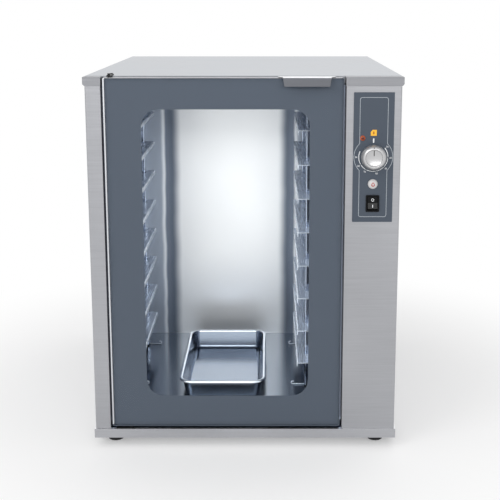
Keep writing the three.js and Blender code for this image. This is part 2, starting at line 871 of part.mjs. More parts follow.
// Hinge: a bracket with a pin above and below the door, and a bush round each pin in the door
function bracketScrew(x, y, top) {
  const head = turned([
    [0, -bracketScrewReach],
    [bracketScrewDiameter / 2, -bracketScrewReach],
    [bracketScrewDiameter / 2, -bracketThickness / 2],
    [bracketScrewHead / 2, -bracketThickness / 2],
    [bracketScrewHead / 2, bracketScrewRise / 2],
    [bracketScrewHead * bracketScrewCrownShare, bracketScrewRise],
    [0, bracketScrewRise],
  ], 16);
  return head.translate(x, y, top);
}

function upperBracket() {
  const bottom = coverTop + seat;
  const top = bottom + bracketThickness;
  const half = bracketWidth / 2;
  const tail = coverFront + bracketTail;
  const plate = block(hingeX - half, hingeX + half, hingeDepth - half, tail, bottom, top);
  const pin = barZ(pinDiameter, hingeX, hingeDepth, doorTop - pinReach, top);
  const head = barZ(pinHeadDiameter, hingeX, hingeDepth, top - bracketThickness / 2, top + pinHeadRise, 16);
  return join(plate, pin, head, bracketScrew(hingeX, upperScrewY, top));
}

function lowerBracket() {
  const bottom = railTop + seat;
  const top = bottom + bracketThickness;
  const half = bracketWidth / 2;
  const front = seat - railFrontProud;
  const plate = block(hingeX - half, hingeX - half + bracketArm, front, front + bracketDepth, bottom, top);
  const pin = barZ(pinDiameter, hingeX, hingeDepth, bottom, doorBottom + pinReach);
  const collar = barZ(bushDiameter, hingeX, hingeDepth, bottom, doorBottom - seat, 24);
  return join(plate, pin, collar, bracketScrew(lowerScrewX, lowerScrewY, top));
}

function hingeBush(z0, z1) {
  const bore = pinDiameter + 2 * pinClearance;
  return cut(
    barZ(bushDiameter, hingeX, hingeDepth, z0, z1),
    barZ(bore, hingeX, hingeDepth, z0 - overrun, z1 + overrun),
  );
}

// Thermostat: a box behind the column with a neck through the plate, open along its axis
function thermostatBody() {
  const box = block(
    controlX - thermostatWidth / 2, controlX + thermostatWidth / 2, columnBack, columnBack + thermostatDepth,
    knobHeight - thermostatHeight / 2, knobHeight + thermostatHeight / 2,
  );
  const neck = barY(shaftHole - 2 * neckClearance, controlX, knobHeight, plateFace, columnBack + overrun);
  const boreDiameter = shaftDiameter + 2 * shaftClearance;
  const boreBack = columnBack + thermostatBore;
  const bore = barY(boreDiameter, controlX, knobHeight, plateFace - overrun, boreBack);
  return cut(join(box, neck), bore);
}

// Shaft with a flat where the knob grips it
function dShaft(diameter, front, back, flatBack) {
  const radius = diameter / 2;
  const flat = block(
    controlX - diameter, controlX + diameter, front - overrun, flatBack,
    knobHeight + radius - shaftFlat, knobHeight + diameter,
  );
  return cut(barY(diameter, controlX, knobHeight, front, back), flat);
}

function thermostatShaft() {
  return dShaft(
    shaftDiameter, knobBack - knobBoreDepth + seat, columnBack + thermostatBore - seat, knobBack,
  );
}

function knob() {
  const radius = knobDiameter / 2;
  const face = knobFront + knobRecess;
  const body = turnedAlongY([
    [0, knobBack],
    [radius - knobRecess, knobBack],
    [radius, knobBack - knobChamfer],
    [radius, knobFront + knobChamfer],
    [radius - knobChamfer, knobFront],
    [radius - knobRing, knobFront],
    [radius - knobRing - knobRecess, face],
    [0, face],
  ], 48).translate(controlX, 0, knobHeight);
  const gripBack = knobBack + overrun;
  const grip = dShaft(shaftDiameter + 2 * shaftClearance, knobBack - knobBoreDepth, gripBack, gripBack);
  const pointerTop = knobHeight + radius - knobRing - knobRecess;
  const pointer = block(
    controlX - pointerWidth / 2, controlX + pointerWidth / 2, knobFront, face + pointerDepth,
    pointerTop - pointerLength, pointerTop,
  );
  return cut(body, grip, pointer);
}

// Sensor: a bulb against the liner's outer wall, and its capillary from the thermostat
function thermostatSensor() {
  const bulbX = cavityRight + linerSheet + seat + bulbDiameter / 2;
  const bulb = barZ(bulbDiameter, bulbX, bulbSetback, bulbTop - bulbLength, bulbTop, 16);
  const start = new THREE.Vector3(controlX, columnBack + thermostatDepth + seat, knobHeight);
  const end = new THREE.Vector3(bulbX, bulbSetback, bulbTop - bulbDiameter);
  const run = new THREE.Vector3(0, bulbSetback - start.y, 0);
  const above = new THREE.Vector3(bulbX, bulbSetback, knobHeight);
  const curve = new THREE.CubicBezierCurve3(
    start, start.clone().addScaledVector(run, capillaryRunShare), above, end,
  );
  const circle = new THREE.Shape().absarc(0, 0, capillaryDiameter / 2, 0, 2 * Math.PI);
  const capillary = new THREE.ExtrudeGeometry(
    circle, { steps: 20, curveSegments: 3, extrudePath: curve, bevelEnabled: false },
  );
  return join(bulb, facingOut(capillary));
}

// Signal lamp: a domed lens on a round body
function signalLamp() {
  const radius = lampDiameter / 2;
  const front = plateFace - seat;
  return turnedAlongY([
    ...lampDomeShares.map(([out, up]) => [radius * out, front - lampDome * up]),
    [radius, front],
    [lampBodyDiameter / 2, front],
    [lampBodyDiameter / 2, lampBodyDepth],
    [0, lampBodyDepth],
  ], 24).translate(lampX, 0, lampHeight);
}

// Push button in its cup: the button slides in through the plate on a stem
function pushButton() {
  const radius = buttonDiameter / 2;
  const front = plateFace - buttonProud;
  return turnedAlongY([
    ...buttonCrownShares.map(([out, back]) => [radius * out, front + buttonCrown * back]),
    [radius, buttonSkirt],
    [buttonStemDiameter / 2, buttonSkirt],
    [buttonStemDiameter / 2, buttonSkirt + buttonStem],
    [0, buttonSkirt + buttonStem],
  ]).translate(controlX, 0, buttonHeight);
}

function buttonCup() {
  const back = columnBack + buttonCupDepth;
  const cup = barY(buttonBore + 2 * buttonCupWall, controlX, buttonHeight, columnBack, back);
  const well = barY(buttonBore, controlX, buttonHeight, columnBack - overrun, cupFloor);
  const stemBore = buttonStemDiameter + 2 * seat;
  const stemHole = barY(stemBore, controlX, buttonHeight, cupFloor - overrun, back + overrun, 24);
  return cut(cup, well, stemHole);
}

// Rocker switch: bezel and body with an open well, and the rocker that tips in it
function switchHousing() {
  const bezel = doorPlate(
    controlX - switchWidth / 2, controlX + switchWidth / 2,
    switchHeight - bezelHeight / 2, switchHeight + bezelHeight / 2,
    bezelCorner, bezelFront, plateFace - seat,
  );
  const halfWidth = switchBodyWidth / 2;
  const halfHeight = switchBodyHeight / 2;
  const body = block(
    controlX - halfWidth, controlX + halfWidth, bezelFront + seat, bezelFront + switchBodyDepth,
    switchHeight - halfHeight, switchHeight + halfHeight,
  );
  const well = block(
    controlX - halfWidth + switchWall, controlX + halfWidth - switchWall,
    bezelFront - overrun, bezelFront + switchWellDepth,
    switchHeight - halfHeight + switchWall, switchHeight + halfHeight - switchWall,
  );
  return cut(join(bezel, body), well);
}

function rocker() {
  const half = rockerHeight / 2;
  const front = -rockerPivotDepth - rockerProud;
  const outline = [
    [front + rockerDish, 0],
    [front, half],
    [rockerShoulder, half],
    [rockerKeel, rockerKeelWidth / 2],
    [rockerKeel, -rockerKeelWidth / 2],
    [rockerShoulder, -half],
    [front, -half],
  ];
  const width = switchBodyWidth - 2 * switchWall - 2 * rockerSideGap;
  return extrudedAlongX(outline, -width / 2, width / 2);
}

// Heating element: one bent tube under the cavity's floor, its ends in the wiring space
function heatingElement() {
  const z = cavityFloor - linerSheet - seat - elementDiameter / 2;
  const left = cavityLeft + elementMargin;
  const right = cavityRight - elementMargin;
  const path = new THREE.CurvePath();
  const at = (x, y) => new THREE.Vector3(x, y, z);
  const straight = (x0, x1, y) => path.add(new THREE.LineCurve3(at(x0, y), at(x1, y)));
  const bend = (x, y, sense) => {
    const reach = sense * elementPitch * elementBendShare;
    const after = y + elementPitch;
    path.add(new THREE.CubicBezierCurve3(at(x, y), at(x + reach, y), at(x + reach, after), at(x, after)));
  };
  for (let i = 0; i <= elementTurns; i += 1) {
    const y = elementFront + i * elementPitch;
    const outward = i % 2 === 0;
    const end = cavityRight + elementTail;
    const near = i === 0 || i === elementTurns ? end : right;
    straight(outward ? near : left, outward ? left : near, y);
    if (i < elementTurns) bend(outward ? left : right, y, outward ? -1 : 1);
  }
  const circle = new THREE.Shape().absarc(0, 0, elementDiameter / 2, 0, 2 * Math.PI);
  return facingOut(new THREE.ExtrudeGeometry(
    circle, { steps: 84, curveSegments: 4, extrudePath: path, bevelEnabled: false },
  ));
}

// Terminal block: a row of poles between raised ribs, standing on the tray
function terminalBlock() {
  const left = glandX - terminalWidth / 2;
  const bottom = trayFloorTop + seat;
  const base = block(
    left, left + terminalWidth, terminalFront, terminalFront + terminalDepth,
    bottom, bottom + terminalHeight,
  );
  const pitch = (terminalWidth - terminalRib) / terminalPoles;
  const pockets = Array.from({ length: terminalPoles }, (_, i) => {
    const from = left + terminalRib + i * pitch;
    return block(
      from, from + pitch - terminalRib, terminalFront - overrun, terminalFront + terminalDepth + overrun,
      bottom + terminalHeight - terminalStep, bottom + terminalHeight + overrun,
    );
  });
  return cut(base, ...pockets);
}

// Cable gland: body outside the back panel, stem through it and nut inside
function cableGland() {
  const outer = bodyDepth + seat;
  const inner = bodyDepth - sheet - seat;
  const gland = turnedAlongY([
    [0, inner - glandNutDepth],
    [glandNutDiameter / 2, inner - glandNutDepth],
    [glandNutDiameter / 2, inner],
    [glandStemDiameter / 2, inner],
    [glandStemDiameter / 2, outer],
    [glandDiameter / 2, outer],
    [glandDiameter / 2, outer + glandFlange],
    [glandDiameter / 2 - glandTaper, glandBack - seat],
    [glandBore / 2 + seat, glandBack],
    [0, glandBack],
  ], 24).translate(glandX, 0, glandHeight);
  const boreFront = inner - glandNutDepth - overrun;
  return cut(gland, barY(glandBore, glandX, glandHeight, boreFront, glandBack + overrun, 24));
}

// Water pan: pressed tray with rounded corners, sloping walls and a turned-down rim
function waterPan() {
  const halfX = panWidth / 2 - panRim;
  const halfY = panLength / 2 - panRim;
  const curveSteps = 3;
  const footCurve = (offset) => Array.from({ length: curveSteps + 1 }, (_, i) => {
    const angle = i / curveSteps * Math.PI / 2;
    const radius = panFootRadius - offset;
    return [
      -panTaper - panFootRadius + radius * Math.sin(angle),
      panFootRadius - radius * Math.cos(angle),
    ];
  });
  const top = panHeight;
  const pan = swept([
    ...footCurve(0),
    [panSheet, top - panSheet],
    [panRim - panSheet, top - panSheet],
    [panRim - panSheet, top - panRimDrop],
    [panRim, top - panRimDrop],
    [panRim, top - panSheet],
    [panRim - panSheet, top],
    [panSheet, top],
    [0, top - panSheet],
    ...footCurve(panSheet).reverse(),
  ], halfX, halfY, panCorner, false, 6);
  const middleY = panFront + panLength / 2;
  return pan.translate(cavityMiddle + panOffset, middleY, cavityFloor + seat);
}

// Insulation: slabs between the liner and the outer sheets
function insulation() {
  const gap = insulationGap;
  const front = linerFront + linerSheet + gap;
  const back = cavityBack + linerSheet + gap;
  const linerTop = cavityTop + linerSheet + gap;
  const low = footHeight + footStudReach + gap;
  add('insulation_left', block(
    insideRail, cavityLeft - linerSheet - gap, front, back + insulationBack, low, cavityTop,
  ), mineralWool);
  add('insulation_top', block(
    insideRail, cavityRight, coverFront + lipBevel + gap, back + insulationBack, linerTop, bodyTop - gap,
  ), mineralWool);
  add('insulation_back', block(
    cavityLeft, cavityRight, back, back + insulationBack, low, cavityTop,
  ), mineralWool);
}

// Assembly: casing
add('base_tray', baseTray(), brushedSteel);
for (const [corner, [x, y]] of Object.entries(footPlaces())) {
  add(`foot_${corner}`, foot(), rubber).position.set(x, y, 0);
}
add('side_panel_left', sidePanel(-1, stileWidth), brushedSteel);
add('side_panel_right', cut(sidePanel(1, columnWidth), ...controlHoles(columnBack + overrun)), brushedSteel);
add('back_panel', backPanel(), brushedSteel);
add('top_cover', topCover(), brushedSteel);
add('stile_cap', frontCap(-1, stileWidth), brushedSteel);
add('column_cap', frontCap(1, columnWidth), brushedSteel);
add('cavity_liner', cavityLiner(), brightSteel);
insulation();

// Assembly: tray racks
for (const [name, side] of [['left', -1], ['right', 1]]) {
  add(`rack_upright_${name}_front`, rackUpright(side, frontUpright), brightSteel);
  add(`rack_upright_${name}_rear`, rackUpright(side, rearUpright), brightSteel);
  ledgeLevels().forEach((level, i) => {
    add(`rack_ledge_${name}_${i + 1}`, rackLedge(side, level), brightSteel);
  });
}
add('water_pan', waterPan(), brightSteel);

// Assembly: door, turning on the hinge line
const door = new THREE.Group();
cabinet.add(door);
add('door_frame', doorFrame(), brushedSteel, door);
add('door_glass', doorGlass(), clearGlass, door);
add('door_border', doorBorder(), slateGlass, door);
add('door_inner_panel', doorInnerPanel(), brightSteel, door);
add('door_gasket', doorGasket(), greySilicone, door);
add('door_handle', doorHandle(), brushedSteel, door);
add('hinge_bush_top', hingeBush(doorTop - bushLength, doorTop), whitePlastic, door);
add('hinge_bush_bottom', hingeBush(doorBottom, doorBottom + bushLength), whitePlastic, door);
add('hinge_bracket_top', upperBracket(), blackSteel);
add('hinge_bracket_bottom', lowerBracket(), blackSteel);

// Assembly: controls
add('control_plate', controlPlate(), slateGlass);
add('thermostat_body', thermostatBody(), greyPlastic);
add('thermostat_shaft', thermostatShaft(), brightSteel);
add('thermostat_knob', knob(), creamPlastic);
add('thermostat_sensor', thermostatSensor(), copper);
add('signal_lamp', signalLamp(), redLens);
add('push_button', pushButton(), whitePlastic);
add('button_cup', buttonCup(), blackPlastic);
add('switch_housing', switchHousing(), blackPlastic);
const rockerMesh = add('switch_rocker', rocker(), blackPlastic);
rockerMesh.position.set(controlX, rockerPivotY, switchHeight);
rockerMesh.rotation.x = -rockerTilt * Math.PI / 180;

// Assembly: heat and wiring
add('heating_element', heatingElement(), brightSteel);
add('terminal_block', terminalBlock(), greyPlastic);
add('cable_gland', cableGland(), blackPlastic);

export default proofingCabinet;
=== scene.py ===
# Proofing cabinet: a heated steel cabinet with a glazed door, eight pairs of tray ledges, a water pan
# and a column of controls. Metres, +Z up, the door facing -Y.
import json
import math

import bmesh
import bpy
import numpy as np
from mathutils import Matrix, Vector


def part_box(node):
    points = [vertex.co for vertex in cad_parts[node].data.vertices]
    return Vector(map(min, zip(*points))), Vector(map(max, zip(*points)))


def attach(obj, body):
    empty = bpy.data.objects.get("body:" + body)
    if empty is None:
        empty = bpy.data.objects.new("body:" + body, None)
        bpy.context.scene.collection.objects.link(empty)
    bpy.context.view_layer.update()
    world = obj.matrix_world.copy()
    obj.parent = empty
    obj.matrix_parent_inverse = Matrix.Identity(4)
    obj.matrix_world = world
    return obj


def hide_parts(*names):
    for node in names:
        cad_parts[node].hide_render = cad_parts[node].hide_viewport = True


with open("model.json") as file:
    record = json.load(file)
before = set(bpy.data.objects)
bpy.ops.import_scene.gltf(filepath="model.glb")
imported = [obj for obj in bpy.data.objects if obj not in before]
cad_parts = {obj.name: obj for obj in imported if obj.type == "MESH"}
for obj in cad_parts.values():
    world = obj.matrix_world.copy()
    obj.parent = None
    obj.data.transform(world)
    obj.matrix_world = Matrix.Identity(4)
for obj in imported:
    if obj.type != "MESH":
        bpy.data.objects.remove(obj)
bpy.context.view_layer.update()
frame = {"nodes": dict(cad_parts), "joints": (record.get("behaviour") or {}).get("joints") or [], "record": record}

scene = bpy.context.scene


# Camera: in front of the cabinet and a little above it, tilted down, as fitted to the photograph's
# corners. A small lens shift keeps the cabinet's uprights closer to parallel.
camera = bpy.data.objects.new("camera", bpy.data.cameras.new("camera"))
scene.collection.objects.link(camera)
camera.location = (0.0456, -2.2186, 0.8741)
camera.rotation_euler = (math.radians(90 - 10.952), 0, 0)
camera.data.lens = 72.14
camera.data.shift_x = -0.0357
camera.data.shift_y = -0.11
scene.camera = camera
scene.view_settings.view_transform = "Standard"


# Studio: a pale floor that runs far back, an even sky, and three soft lamps. The lamp at the left
# throws the cabinet's faint shadow to the right, and the wide one in front lights its edges.
def linear(colour):
    """An sRGB hex colour as linear red, green, blue and alpha: the sRGB curve undone on each channel."""
    channels = np.array([int(colour[i:i + 2], 16) for i in (1, 3, 5)]) / 255
    low = channels / 12.92
    high = ((channels + 0.055) / 1.055) ** 2.4
    return (*np.where(channels <= 0.04045, low, high).tolist(), 1)


def add_node(tree, kind, inputs=(), **settings):
    """Adds a node and sets its properties, then its inputs: a socket is linked, all else is a value."""
    made = tree.nodes.new(kind)
    for name, value in settings.items():
        setattr(made, name, value)
    for name, value in dict(inputs).items():
        if isinstance(value, bpy.types.NodeSocket):
            tree.links.new(value, made.inputs[name])
        else:
            made.inputs[name].default_value = value
    return made


def new_material(name, **settings):
    """A material with its shader's sockets set: base_color fills the socket Base Color, and so on."""
    made = bpy.data.materials.new(name)
    made.use_nodes = True
    shader = made.node_tree.nodes["Principled BSDF"]
    for key, value in settings.items():
        shader.inputs[key.replace("_", " ").title().replace("Ior", "IOR")].default_value = value
    return made, made.node_tree, shader


def piece_of(name, data):
    """The object of a mesh or a lamp, in the scene and at the origin."""
    piece = bpy.data.objects.new(name, data)
    scene.collection.objects.link(piece)
    return piece


def grid_piece(name, points, closed=False):
    """A surface from rows of points: each cell between two rows and two columns is one face, and points
    that meet become one. In a closed grid the last column joins the first."""
    rows, columns = points.shape[:2]
    start = np.arange(rows - 1)[:, None] * columns
    column = np.arange(columns if closed else columns - 1)
    after = (column + 1) % columns
    cells = [start + column, start + after, start + columns + after, start + columns + column]
    faces = np.stack(cells, -1).reshape(-1, 4)
    mesh = bpy.data.meshes.new(name)
    mesh.from_pydata(points.reshape(-1, 3).tolist(), [], faces.tolist())
    work = bmesh.new()
    work.from_mesh(mesh)
    bmesh.ops.remove_doubles(work, verts=work.verts, dist=1e-6)
    bmesh.ops.recalc_face_normals(work, faces=work.faces)
    work.to_mesh(mesh)
    work.free()
    return piece_of(name, mesh)


floor_reach = 40
plan_x, plan_y = np.meshgrid([-floor_reach, floor_reach], [-floor_reach, floor_reach])
floor = grid_piece("floor", np.stack([plan_x, plan_y, 0 * plan_x], -1))

# Studio paper is matt, so it takes the shadow softly. It begins to glow past the cabinet's edge, and from
# fade_end on it is as white as the sky, as the photograph's ground is.
fade_start, fade_end, least_glow = 0.45, 1.05, 0.3
paper, tree, shader = new_material("matt_white_paper", base_color=linear("#F6F6F6"), roughness=0.9)
away = add_node(tree, "ShaderNodeVectorMath", {
    0: add_node(tree, "ShaderNodeTexCoord").outputs["Object"],
}, operation="LENGTH")
fade = add_node(tree, "ShaderNodeMapRange", {
    "Value": away.outputs["Value"], "From Min": fade_start, "From Max": fade_end, "To Min": least_glow,
}, interpolation_type="SMOOTHSTEP")
white = add_node(tree, "ShaderNodeEmission", {"Color": (1, 1, 1, 1)})
paper_far = add_node(tree, "ShaderNodeMixShader", {
    0: fade.outputs[0], 1: shader.outputs[0], 2: white.outputs[0],
})
tree.links.new(paper_far.outputs[0], tree.nodes["Material Output"].inputs["Surface"])
floor.data.materials.append(paper)

# The sky is white where it is seen, mirrored or looked at through glass, and lights at two thirds of that.
sky = bpy.data.worlds.new("sky")
sky.use_nodes = True
scene.world = sky
tree = sky.node_tree
sky_light, sky_seen = 0.66, 1.0
rays = add_node(tree, "ShaderNodeLightPath")
seen = add_node(tree, "ShaderNodeMath", {
    0: rays.outputs["Is Camera Ray"], 1: rays.outputs["Is Glossy Ray"],
}, operation="MAXIMUM")
seen = add_node(tree, "ShaderNodeMath", {
    0: seen.outputs[0], 1: rays.outputs["Is Transmission Ray"],
}, operation="MAXIMUM")
strength = add_node(tree, "ShaderNodeMapRange", {
    "Value": seen.outputs[0], "To Min": sky_light, "To Max": sky_seen,
})
tree.links.new(strength.outputs[0], tree.nodes["Background"].inputs["Strength"])
tree.nodes["Background"].inputs["Color"].default_value = (1, 1, 1, 1)


def lamp(name, power, width, height, place, target):
    """A rectangular soft lamp of a power in watts and a size in metres, turned towards a target."""
    light = bpy.data.lights.new(name, "AREA")
    light.shape = "RECTANGLE"
    light.energy, light.size, light.size_y = power, width, height
    made = piece_of(name, light)
    made.location = place
    made.rotation_euler = (Vector(place) - Vector(target)).to_track_quat("Z", "Y").to_euler()


lamp("lamp_left", 28, 1.8, 1.8, (-1.9, -2.2, 2.5), (0, 0, 0.35))
lamp("lamp_above", 12, 2.4, 1.6, (0.6, 0.9, 2.7), (0, 0, 0.4))
lamp("lamp_front", 24, 2.4, 0.7, (0.1, -2.9, 1.55), (0, 0, 0.35))


# Casing: folded sheets of brushed stainless steel: base tray, side panels, back, top cover and the two
# caps beside the door. The edges are broken, and the grain runs along each sheet.
mm = 0.001
nodes = frame["nodes"]


def varied(colour, shift):
    """A hex colour made darker and lighter by a share of itself, as two linear colours."""
    shade = np.array(linear(colour)[:3])
    return [(*np.minimum(shade * (1 + part), 1).tolist(), 1) for part in (-shift, shift)]


def brushed(name, colour, grain, roughness=0.34, bump=0.06, across=1.5, metallic=1.0):
    """Brushed steel: noise drawn out along the axes of its grain, with its lines a number of mm across,
    varies colour, roughness and relief. A wide, faint cloud varies them too, as handling does. The real
    grain is 0.1 mm across, and it is drawn coarser so that it shows."""
    line_length, cloud_size, line_depth, gloss_shift, colour_shift = 80, 200, 0.05, 0.05, 0.06
    made, tree, shader = new_material(name, metallic=metallic)
    place = add_node(tree, "ShaderNodeTexCoord").outputs["Object"]
    scale = [1 / ((line_length if axis in grain else across) * mm) for axis in "xyz"]
    drawn = add_node(tree, "ShaderNodeMapping", {"Vector": place, "Scale": scale})
    lines = add_node(tree, "ShaderNodeTexNoise", {"Vector": drawn.outputs[0], "Scale": 1.0, "Detail": 3.0})
    cloud = add_node(tree, "ShaderNodeTexNoise", {
        "Vector": place, "Scale": 1 / (cloud_size * mm), "Detail": 2.0,
    })
    both = add_node(tree, "ShaderNodeMath", {
        0: lines.outputs["Fac"], 1: cloud.outputs["Fac"],
    }, operation="ADD")
    # The two noises lie round 0.5 each, so their sum seldom leaves 0.6 to 1.4.
    rough = add_node(tree, "ShaderNodeMapRange", {
        "Value": both.outputs[0], "From Min": 0.6, "From Max": 1.4,
        "To Min": roughness - gloss_shift, "To Max": roughness + gloss_shift,
    })
    tree.links.new(rough.outputs[0], shader.inputs["Roughness"])
    stripe = add_node(tree, "ShaderNodeMapRange", {
        "Value": both.outputs[0], "From Min": 0.7, "From Max": 1.3,
    })
    darker, lighter = varied(colour, colour_shift)
    tint = add_node(tree, "ShaderNodeMix", {
        "Factor": stripe.outputs[0], "A": darker, "B": lighter,
    }, data_type="RGBA")
    tree.links.new(tint.outputs["Result"], shader.inputs["Base Color"])
    relief = add_node(tree, "ShaderNodeBump", {
        "Height": lines.outputs["Fac"], "Strength": bump, "Distance": line_depth * mm,
    })
    tree.links.new(relief.outputs[0], shader.inputs["Normal"])
    return made


def dress(names, material):
    """Gives the solids that keep their shape their material."""
    for name in names:
        nodes[name].data.materials.clear()
        nodes[name].data.materials.append(material)


def put(piece, material, body, slot, *replaced):
    """Gives a piece its material and body, and hides the solids that it stands for. Its slot is not used."""
    piece.data.materials.clear()
    piece.data.materials.append(material)
    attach(piece, body)
    if replaced:
        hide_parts(*replaced)
    return piece


def smooth(piece, angle=35):
    """Shades a piece smooth, except across edges sharper than the angle."""
    piece.data.polygons.foreach_set("use_smooth", np.ones(len(piece.data.polygons), bool))
    piece.data.set_sharp_from_angle(angle=math.radians(angle))
    return piece


def softened(name, edge, material, body="cabinet", segments=2):
    """A solid's copy, with its triangles joined into flat faces and its edges rounded by edge metres."""
    work = bmesh.new()
    work.from_mesh(nodes[name].data)
    bmesh.ops.remove_doubles(work, verts=work.verts, dist=1e-6)
    bmesh.ops.dissolve_limit(work, angle_limit=math.radians(0.5), verts=work.verts, edges=work.edges)
    mesh = bpy.data.meshes.new(name + "_made")
    work.to_mesh(mesh)
    work.free()
    piece = smooth(piece_of(name + "_made", mesh))
    bevel = piece.modifiers.new("broken_edge", "BEVEL")
    bevel.width, bevel.segments = edge, segments
    bevel.limit_method, bevel.angle_limit = "ANGLE", math.radians(40)
    level = piece.modifiers.new("flat_faces", "WEIGHTED_NORMAL")
    level.keep_sharp = True
    slot = next(part["material_slot"] for part in frame["record"]["subparts"] if part["node"] == name)
    return put(piece, material, body, slot, name)


def face_material(piece, material, wanted):
    """Gives a piece one more material, on the faces for which wanted says yes."""
    piece.data.materials.append(material)
    for face in piece.data.polygons:
        if wanted(face):
            face.material_index = len(piece.data.materials) - 1


# Brushing leaves fine lines, which spread each highlight across them. The rail and the cover are a touch brighter
# than the panels. The cover's lip and the two caps are a darker copy of the steel, as painted shade.
panel_grain = brushed("stainless_panel", "#A8A9AD", "xy")
rail_grain = brushed("stainless_rail", "#B2B3B7", "xy")
cover_grain = brushed("stainless_cover", "#ADB1B7", "x", roughness=0.3)
lip_painted_shade = brushed("stainless_lip_painted_shade", "#939498", "xy")
sheet_edge, tray_edge = 0.35 * mm, 0.55 * mm
for name in ("side_panel_left", "side_panel_right", "back_panel"):
    softened(name, sheet_edge, panel_grain)
tray = softened("base_tray", tray_edge, rail_grain, segments=3)

# The rail's upper edge, under the door, looks straight up at the lamps, and its bright line is a painted
# highlight: a lighter copy of the same steel.
# A face looks straight along an axis, or on the whole upwards, where its normal's part is above these.
straight, upwards = 0.9, 0.5
painted_highlight_steel = brushed("stainless_painted_highlight", "#EDEEF0", "x")
rail_top, rail_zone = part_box("door_frame")[0].z, 8 * mm
face_material(
    tray, painted_highlight_steel, lambda face: face.normal.z > straight and abs(face.center.z - rail_top) < rail_zone,
)
cover = softened("top_cover", sheet_edge, cover_grain)
# The cover's faces that do not look upwards take the darker lip steel: painted shade.
face_material(cover, lip_painted_shade, lambda face: face.normal.z < upwards)
for name in ("stile_cap", "column_cap"):
    softened(name, sheet_edge, lip_painted_shade)


# Feet: black rubber blocks, moulded with a soft edge, on studs through the base tray. Rubber is matt and
# takes on a little dust.
def grained(name, colour, size, depth, shift=0.06, roughness=0.5, **settings):
    """A moulded, cast or printed finish: noise of the given size and depth in mm varies its roughness and
    relief, and a cloud ten times as large varies its colour by the shift, as wear and dust do. The noise
    seldom leaves 0.3 to 0.7. A real grain that is finer is drawn at this size so that it shows."""
    made, tree, shader = new_material(name, **settings)
    place = add_node(tree, "ShaderNodeTexCoord").outputs["Object"]
    scale = 1 / (size * mm)
    grit = add_node(tree, "ShaderNodeTexNoise", {"Vector": place, "Scale": scale, "Detail": 2.0})
    cloud = add_node(tree, "ShaderNodeTexNoise", {"Vector": place, "Scale": 0.1 * scale, "Detail": 2.0})
    rough = add_node(tree, "ShaderNodeMapRange", {
        "Value": grit.outputs["Fac"], "From Min": 0.3, "From Max": 0.7,
        "To Min": 0.88 * roughness, "To Max": 1.12 * roughness,
    })
    tree.links.new(rough.outputs[0], shader.inputs["Roughness"])
    darker, lighter = varied(colour, shift)
    tint = add_node(tree, "ShaderNodeMix", {
        "Factor": cloud.outputs["Fac"], "A": darker, "B": lighter,
    }, data_type="RGBA")
    tree.links.new(tint.outputs["Result"], shader.inputs["Base Color"])
    relief = add_node(tree, "ShaderNodeBump", {
        "Height": grit.outputs["Fac"], "Strength": 0.3, "Distance": depth * mm,
    })
    tree.links.new(relief.outputs[0], shader.inputs["Normal"])
    return made


rubber = grained("black_rubber", "#1C1C1E", size=1.5, depth=0.1, roughness=0.8)


def turned(name, profile, centre, axis="Z", segments=64):
    """A profile of (radius, height) points in mm, turned round an axis through the centre: x and y, or x
    and z, are the radius times the cosine and the sine. Along Y, height grows away from the front."""
    radius, height = np.array(profile, float).T * mm
    angle = np.arange(segments) * 2 * math.pi / segments
    flat_a = radius[:, None] * np.cos(angle)
    flat_b = radius[:, None] * np.sin(angle)
    up = height[:, None] + 0 * angle
    stacked = (flat_a, flat_b, up) if axis == "Z" else (flat_a, up, flat_b)
    return smooth(grid_piece(name, np.stack(stacked, -1) + np.array(centre), closed=True))


foot_profile = [
    (0, 0), (13, 0), (14.4, 0.5), (15.4, 1.4), (15.9, 2.8), (15.9, 4), (14.2, 18.2), (13.6, 19.3),
    (12.6, 19.7), (3, 19.7), (3, 28.7), (0, 28.7),
]
for corner_name in ("front_left", "front_right", "rear_left", "rear_right"):
    low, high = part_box("foot_" + corner_name)
    foot_centre = ((low.x + high.x) / 2, (low.y + high.y) / 2, 0)
    foot = turned("foot_" + corner_name + "_rubber", foot_profile, foot_centre)
    put(foot, rubber, "cabinet", "foot_rubber", "foot_" + corner_name)


# Cavity: a bright stainless liner with a matt back wall, its ledges folded from the same sheet and its
# uprights slotted. A soft lamp as large as the window stands for the white room in front of the door.
liner_low, liner_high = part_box("cavity_liner")
inside_x = (liner_low.x + liner_high.x) / 2
lamp_drop, lamp_gap = 25 * mm, 8 * mm
lamp_z = (liner_low.z + liner_high.z) / 2 - lamp_drop
lamp_place = (inside_x, liner_low.y + lamp_gap, lamp_z)
lamp("lamp_inside", 0.31, 0.3, 0.5, lamp_place, (inside_x, liner_high.y, lamp_z))

# Bright-annealed sheet mirrors softly, more so on the walls than on the floor, which trays have scuffed. The
# floor's darker colour is painted shade.
# The back wall is rolled matt, so that it glows evenly, and its lines run across it.
bright_wall = brushed("bright_annealed_wall", "#AFB8C9", "z", roughness=0.12, bump=0.01, across=1.2)
floor_painted_shade = brushed("bright_annealed_floor_painted_shade", "#818994", "y", roughness=0.18, bump=0.02)
back_wall = brushed("matt_back_wall_painted_reflection", "#FBFBFC", "x", roughness=0.44, bump=0.012, metallic=0.85)
